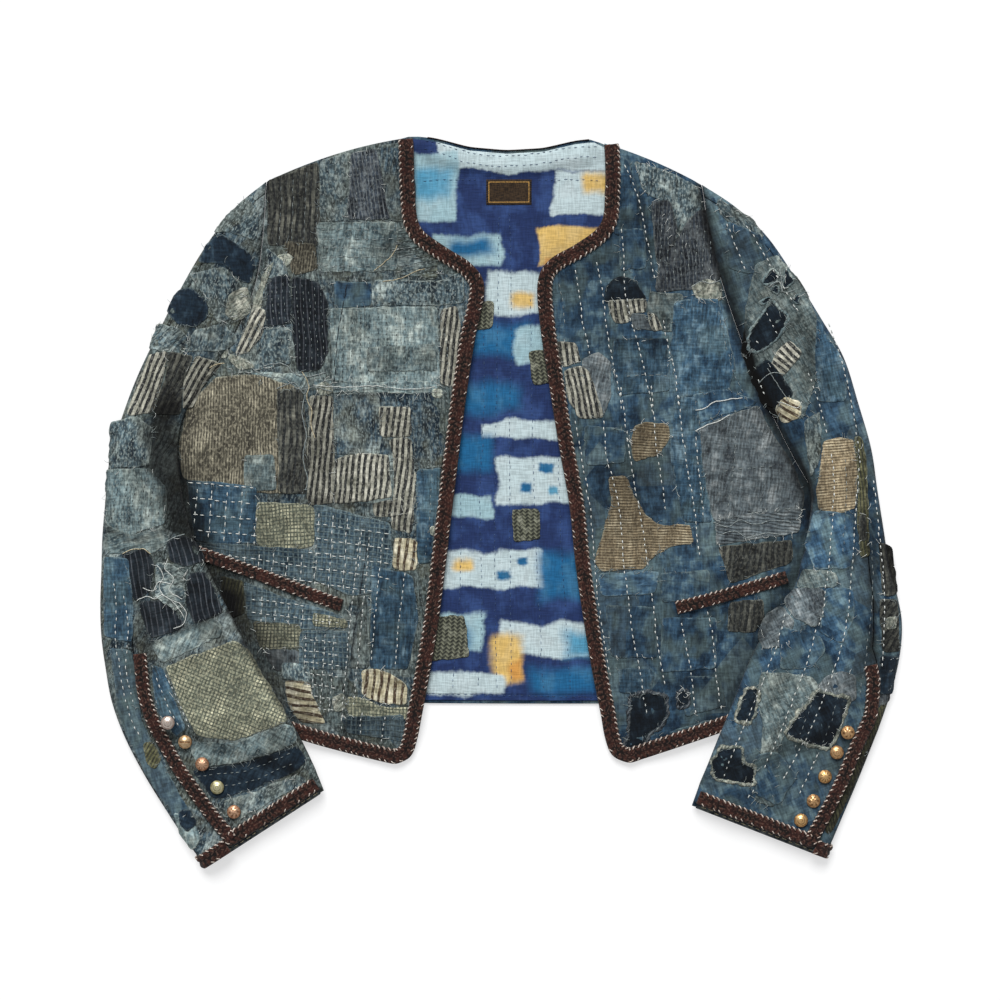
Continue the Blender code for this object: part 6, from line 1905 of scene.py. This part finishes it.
def liningMaterial():
    # each block is the product of two soft steps, its edges drawn out by noise like a brush's
    loom = Loom("lining_dyes")
    x, y = loom.axes()
    # slow drifts bend the blocks, a fine one roughens their edges
    drifts = [loom.noise(46, 40, 1.0, 1.1), loom.noise(36, 44, 1.0, 4.2)]
    rough = [loom.noise(6, 4, 2.0, 6.3), loom.noise(4, 6, 2.0, 9.9)]
    bent = []
    for place, drift, grain in zip((x, y), drifts, rough):
        bent.append(loom.plus(place, loom.times(drift, 14, loom.times(grain, 3.2, -8.6))))
    x, y = bent
    wash = loom.noise(20, 26, 3.0, 2.2)
    colour = loom.mix(loom.step(wash, 0.4, 0.68), dye(32, 50, 94), dye(48, 72, 122))
    for bx, by, width, height, soft, shade in dyeBlocks:
        across = loom.math("ABSOLUTE", loom.math("SUBTRACT", x, float(bx)))
        down = loom.math("ABSOLUTE", loom.math("SUBTRACT", y, float(by)))
        mask = loom.times(loom.step(across, width / 2 - soft, width / 2 + soft, 1.0, 0.0),
                          loom.step(down, height / 2 - soft, height / 2 + soft, 1.0, 0.0))
        shade = dyes[shade]
        pale = tuple(c * 0.8 + 40 for c in shade)
        shaded = loom.mix(loom.step(wash, 0.42, 0.7, 0.0, 0.7), dye(*shade), dye(*pale))
        colour = loom.mix(mask, colour, shaded)
    warp, weft = loom.noise(1.5, 12, 1.0, 5.2), loom.noise(12, 1.6, 1.0, 9.4)
    slub = loom.plus(warp, weft)
    shadow = loom.step(slub, 0.7, 1.3, 0.82, 1.1)
    return loom.finish(loom.scaled(colour, shadow), slub, rough=0.75, depth=0.25)


addPanel("jacket_lining", liningTop, grid3(liningFlat, liningRest), None, 0, ["back_lining"],
         material=liningMaterial())

knitPatches = [
    (4, 0.0, 0.7, [(-72, -112), (-34, -110), (-30, -150), (-74, -154)]),
    (-6, 0.05, 0.7, [(26, 140), (58, 144), (60, 112), (30, 108)]),
    (2, -0.05, 0.7, [(-38, 186), (-6, 188), (-8, 162), (-34, 160)]),
    (0, 0.0, 0.7, [(10, -10), (36, -8), (38, -38), (12, -40)]),
]


def knitMaterial():
    # columns of stitches: a zigzag of ridges, grey-green, painted darker between the ridges and paler on
    # their crests as shade and highlight
    loom = Loom("cloth_knit")
    x, y = loom.axes()
    wobble = loom.math("SUBTRACT", loom.noise(14, 22, 1.0, 2.2), 0.5)
    columns = loom.bands(x, 5.2, 0.55, wobble, 0.7)
    lean = loom.math("PINGPONG", x, 2.6)
    rows = loom.bands(loom.times(lean, 0.9, y), 3.6, 0.5, wobble, 0.6)
    height = loom.plus(loom.times(columns, 0.6), loom.times(rows, 0.7))
    worn = loom.noise(9, 12, 2.0, 3.1)
    colour = loom.mix(loom.step(height, 0.3, 1.2), dye(52, 54, 48), dye(120, 122, 104))
    colour = loom.mix(loom.step(worn, 0.5, 0.75, 0.0, 0.5), colour, dye(176, 178, 158))
    return loom.finish(colour, height, depth=1.1)


knits = []
for n, (degrees, tone, fray, corners) in enumerate(knitPatches):
    line = closedOutline(corners, patchCut["step"], fray, 4000 + n)
    top, shell = patchShell(line, "lining", degrees, tone, patchCut["knit"], 4000 + n)
    knits.append(shell)
addPiece("lining_knit_patches", knits, knitMaterial())
sewnOn["lining"].append("lining_knit_patches")

# Label

labelCut = {"columns": 60, "rows": 36, "thick": 0.5, "pitch": 2.2, "thread": 0.22}


def labelMaterial():
    # dark weave with one plain gold border, and nothing else on it
    loom = Loom("label_weave")
    warp, weft = loom.noise(0.9, 5, 1.0, 1.2), loom.noise(5, 0.9, 1.0, 3.4)
    rib = loom.plus(warp, weft)
    colour = loom.mix(loom.step(rib, 0.7, 1.3), dye(34, 24, 16), dye(66, 50, 32))
    rim = loom.mark("rim")
    border = loom.times(loom.step(rim, 1.9, 2.2), loom.step(rim, 2.8, 3.1, 1.0, 0.0))
    worn = loom.times(border, loom.step(loom.noise(1.6, 1.6, 1.0, 7.0), 0.3, 0.5, 0.45, 1.0))
    colour = loom.mix(worn, colour, dye(176, 136, 74))
    height = loom.times(border, 0.8, rib)
    return loom.finish(colour, height, rough=0.7, depth=0.18)


lu, lv = np.meshgrid(np.linspace(0, 1, labelCut["columns"]), np.linspace(0, 1, labelCut["rows"]))
plan = np.stack([mixed(*labelPlace["x"], lu), mixed(*labelPlace["y"], lv)], -1)
near = np.minimum(np.minimum(plan[..., 0] - labelPlace["x"][0], labelPlace["x"][1] - plan[..., 0]),
                  np.minimum(plan[..., 1] - labelPlace["y"][0], labelPlace["y"][1] - plan[..., 1]))
lowLabel = heightAt(maps["lining"], plan[..., 0], plan[..., 1]) + 0.12
highLabel = lowLabel + labelCut["thick"] * (0.55 + 0.45 * ease(near / 1.2))
highLabel += 0.12 * cloud(plan[..., 0], plan[..., 1], 9, 91)
points, faces = sheetMesh(grid3(plan, highLabel), grid3(plan, lowLabel))
marks = {"rim": np.concatenate([near.ravel(), near.ravel()]), "tone": np.zeros(len(points))}
label = makePiece("plain_label", points, faces, labelMaterial(), weaveMap(points, 0, 0.2),
                  marks)
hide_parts("neck_label")
labelEdge = []
for x in (labelPlace["x"][0] + 1.1, labelPlace["x"][1] - 1.1):
    y = np.arange(labelPlace["y"][0] + 1.5, labelPlace["y"][1] - 1, labelCut["pitch"])
    first, last = (np.stack([np.full(len(y), x + move), y + move * 0.3], -1) for move in (-1.3, 1.0))
    z = heightAt(maps["lining"], x + 0 * y, y)
    labelEdge.append(archedStitches(first, last, z, (0.3, 1.0, 0.8), labelCut["thread"]))
addPiece("plain_label_stitches", labelEdge, threads["dark"])

# Buttons

# each button's metal and relief, from the vent down
buttonTable = {
    "right": [("silverPink", "ring"), ("pinkBrass", "slot"), ("copper", "spokes"), ("paleBrass", "ring"),
        ("copper", "petals")],
    "left": [("brass", "petals"), ("brass", "ring"), ("gold", "spokes"), ("brass", "petals"),
        ("gold", "ring")],
}
metalTable = {
    "silverPink": ((232, 218, 206), (150, 128, 118)),
    "pinkBrass": ((232, 202, 160), (148, 110, 76)),
    "copper": ((228, 186, 152), (144, 100, 74)),
    "paleBrass": ((228, 222, 182), (140, 132, 92)),
    "brass": ((228, 186, 136), (138, 100, 66)),
    "gold": ((236, 194, 136), (144, 104, 64)),
}
buttonCut = {"radius": 6.5, "height": 4.6, "around": 40, "shank": 2.4, "turn": 0.7}


def metalMaterial(name):
    # bright on the relief's crests and dull in its grooves, with fine scratches in the gloss
    bright, dull = metalTable[name]
    loom = Loom("metal_" + name)
    groove = loom.mark("rim")
    tarnish = loom.noise(2.4, 3.0, 2.0, 5.0)
    share = loom.plus(groove, loom.times(tarnish, 0.7, -0.35))
    colour = loom.mix(loom.step(share, 0.25, 0.8), dye(*bright), dye(*dull))
    rough = loom.step(loom.plus(share, loom.noise(0.5, 4, 1.0, 1.0)), 0.4, 1.3, 0.3, 0.6)
    bump = loom.node("ShaderNodeBump", {"Height": tarnish, "Strength": 0.6, "Distance": 0.00015})
    shader = loom.node("ShaderNodeBsdfPrincipled", {"Base Color": colour, "Metallic": 1.0,
                                                    "Roughness": rough, "Normal": bump.outputs[0]})
    loom.node("ShaderNodeOutputMaterial", {0: shader.outputs[0]})
    return loom.material


metals = {name: metalMaterial(name) for name in metalTable}


def buttonMesh(centre, foot, relief, turn):
    # a profile turned round a middle line: shank, flat back, rolled edge, then a domed face whose
    # relief is a wave round it, and one closing point at each end
    radius, height = buttonCut["radius"], buttonCut["height"]
    profile = np.array([
        (0.0, 0.0), (0.34, 0.0), (0.34, 0.16), (0.86, 0.18), (0.98, 0.26), (1.0, 0.36), (0.97, 0.48),
        (0.90, 0.56), (0.84, 0.54), (0.78, 0.56), (0.70, 0.66), (0.60, 0.77), (0.50, 0.85),
        (0.40, 0.91), (0.30, 0.955), (0.2, 0.98), (0.1, 0.995), (0.0, 1.0),
    ])
    r, z = profile[1:-1, 0:1], profile[1:-1, 1:2]
    angle = np.linspace(0, 2 * np.pi, buttonCut["around"], endpoint=False)[None] + turn
    face = ease((z - 0.55) / 0.08) * (r < 0.84)
    wave = {
        "ring": np.cos(r * 6 * np.pi) * 0.5 + 0 * angle,
        "spokes": np.cos(10 * angle) * ease((r - 0.25) / 0.2) * 0.6,
        "petals": np.cos(6 * angle + r * 4) * ease((r - 0.12) / 0.3) * 0.6 + 0.3 * np.cos(r * 5 * np.pi),
        "slot": -1.2 * np.exp(-((r * np.sin(angle)) / 0.09) ** 2) + 0 * r,
    }[relief]
    lift = z + 0.055 * wave * face
    points = np.stack([centre[0] + radius * r * np.cos(angle), centre[1] + radius * r * np.sin(angle),
                       foot + height * lift], -1)
    flat, quads, triangles = capped(points, [[*centre, foot], [*centre, foot + height]])
    groove = np.concatenate([(0.35 - 0.6 * wave * face + 0.25 * (1 - face)).ravel(), [0.5, 0.2]])
    marks = {"rim": np.clip(groove, 0, 1), "tone": np.zeros(len(flat))}
    return flat, quads, triangles, flat[:, :2] * 0.001, marks


shank = buttonCut["shank"]
for side in sides:
    for k, (metal, relief) in enumerate(buttonTable[side]):
        node = f"{side}_cuff_button_{k + 1}"
        low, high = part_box(node)
        centre = [(low[n] + high[n]) * 500 - shift[n] for n in (0, 1)]
        ring = np.linspace(0, 2 * np.pi, 12)
        around = heightAt(maps[side + "_sleeve"], centre[0] + shank * np.cos(ring),
                          centre[1] + shank * np.sin(ring))
        mesh = buttonMesh(centre, around.max() + 0.1, relief, buttonCut["turn"] * k)
        piece = addPiece(f"{side}_button_{k + 1}_{relief}", [mesh], metals[metal])
        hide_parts(node)
        trim[side + "_sleeve"].append(piece.name)
print("stage 8: lining, label and buttons made")

# What each piece stands for

standsFor = {
    "right_front_umber_patches": ["right_shoulder_rib_patch"],
    "right_front_rib_patches": ["right_homespun_patch"],
    "right_front_pinstripe_patches": ["right_pinstripe_patch"],
    "right_front_wash_patches": ["right_chest_denim_patch"],
    "right_front_ticking_patches": ["right_ticking_patch"],
    "right_front_blue_patches": ["right_cross_stitch_patch", "right_front_blue_patch"],
    "right_front_check_patches": ["right_cream_check_patch"],
    "right_front_plaid_patches": ["right_hem_check_patch"],
    "left_front_boucle_patches": ["left_shoulder_fleck_patch"],
    "left_front_charcoal_patches": ["left_charcoal_rib_patch"],
    "left_front_blue_patches": ["left_chest_blue_patch"],
    "left_front_grey_patches": ["left_twill_patch"],
    "left_front_ticking_patches": ["left_ticking_patch"],
    "left_front_tan_patches": ["left_darned_patch"],
    "left_front_umber_patches": ["left_waist_band_patch"],
    "left_front_navy_patches": ["left_hem_indigo_patch"],
    "right_sleeve_navy_patches": ["right_arm_navy_patch"],
    "right_sleeve_ticking_patches": ["right_arm_ticking_patch"],
    "right_sleeve_pinstripe_patches": ["right_forearm_indigo_patch"],
    "right_sleeve_check_patches": ["right_cuff_check_patch"],
    "left_sleeve_tan_patches": ["left_arm_darned_patch"],
    "left_sleeve_indigo_patches": ["left_forearm_blue_patch"],
    "left_sleeve_navy_patches": ["left_arm_indigo_patch", "left_cuff_indigo_patch"],
}
for name, nodes in standsFor.items():
    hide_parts(*nodes)

trim["lining"] = ["plain_label", "plain_label_stitches"]

# Floor, light and camera

view = {"lens": 85.0, "width": 0.95, "centre": (-0.00095, 0.0)}
light = {"key": 2.9, "keyTurn": (47, -170), "fill": 0.38, "spread": 34, "paper": 0.5, "glow": 0.56}

floorMesh = bpy.data.meshes.new("studio_floor")
floorMesh.from_pydata([(-8, -8, 0), (8, -8, 0), (8, 8, 0), (-8, 8, 0)], [], [(0, 1, 2, 3)])
floor = bpy.data.objects.new("studio_floor", floorMesh)
bpy.context.scene.collection.objects.link(floor)


def floorMaterial():
    # white to the camera, to gloss and through glass, darkened only where the jacket shades it
    made = bpy.data.materials.new("studio_floor")
    made.use_nodes = True
    tree = made.node_tree
    tree.nodes.clear()
    seen = tree.nodes.new("ShaderNodeLightPath")
    either = seen.outputs["Is Camera Ray"]
    for ray in ("Is Glossy Ray", "Is Transmission Ray"):
        both = tree.nodes.new("ShaderNodeMath")
        both.operation = "MAXIMUM"
        tree.links.new(either, both.inputs[0])
        tree.links.new(seen.outputs[ray], both.inputs[1])
        either = both.outputs[0]
    paper, glow = tree.nodes.new("ShaderNodeBsdfDiffuse"), tree.nodes.new("ShaderNodeEmission")
    paper.inputs[0].default_value = (*[light["paper"]] * 3, 1)
    share = tree.nodes.new("ShaderNodeMath")
    share.operation = "MULTIPLY"
    share.inputs[1].default_value = light["glow"]
    tree.links.new(either, share.inputs[0])
    tree.links.new(share.outputs[0], glow.inputs["Strength"])
    both = tree.nodes.new("ShaderNodeAddShader")
    out = tree.nodes.new("ShaderNodeOutputMaterial")
    tree.links.new(paper.outputs[0], both.inputs[0])
    tree.links.new(glow.outputs[0], both.inputs[1])
    tree.links.new(both.outputs[0], out.inputs[0])
    return made


floorMesh.materials.append(floorMaterial())

lamp = bpy.data.lights.new("key", "SUN")
lamp.energy, lamp.angle = light["key"], math.radians(light["spread"])
key = bpy.data.objects.new("key", lamp)
key.rotation_euler = (math.radians(light["keyTurn"][0]), 0, math.radians(light["keyTurn"][1]))
bpy.context.scene.collection.objects.link(key)
world = bpy.data.worlds.new("studio")
world.use_nodes = True
world.node_tree.nodes["Background"].inputs[0].default_value = (0.97, 0.98, 1.0, 1)
world.node_tree.nodes["Background"].inputs[1].default_value = light["fill"]
bpy.context.scene.world = world

camera = bpy.data.cameras.new("camera")
camera.type, camera.lens, camera.sensor_width = "PERSP", view["lens"], 36.0
eye = bpy.data.objects.new("camera", camera)
eye.location = (*view["centre"], view["width"] * view["lens"] / 36.0)
bpy.context.scene.collection.objects.link(eye)
bpy.context.scene.camera = eye
bpy.context.scene.view_settings.view_transform = "Standard"

print("stage 9: floor, light and camera set")
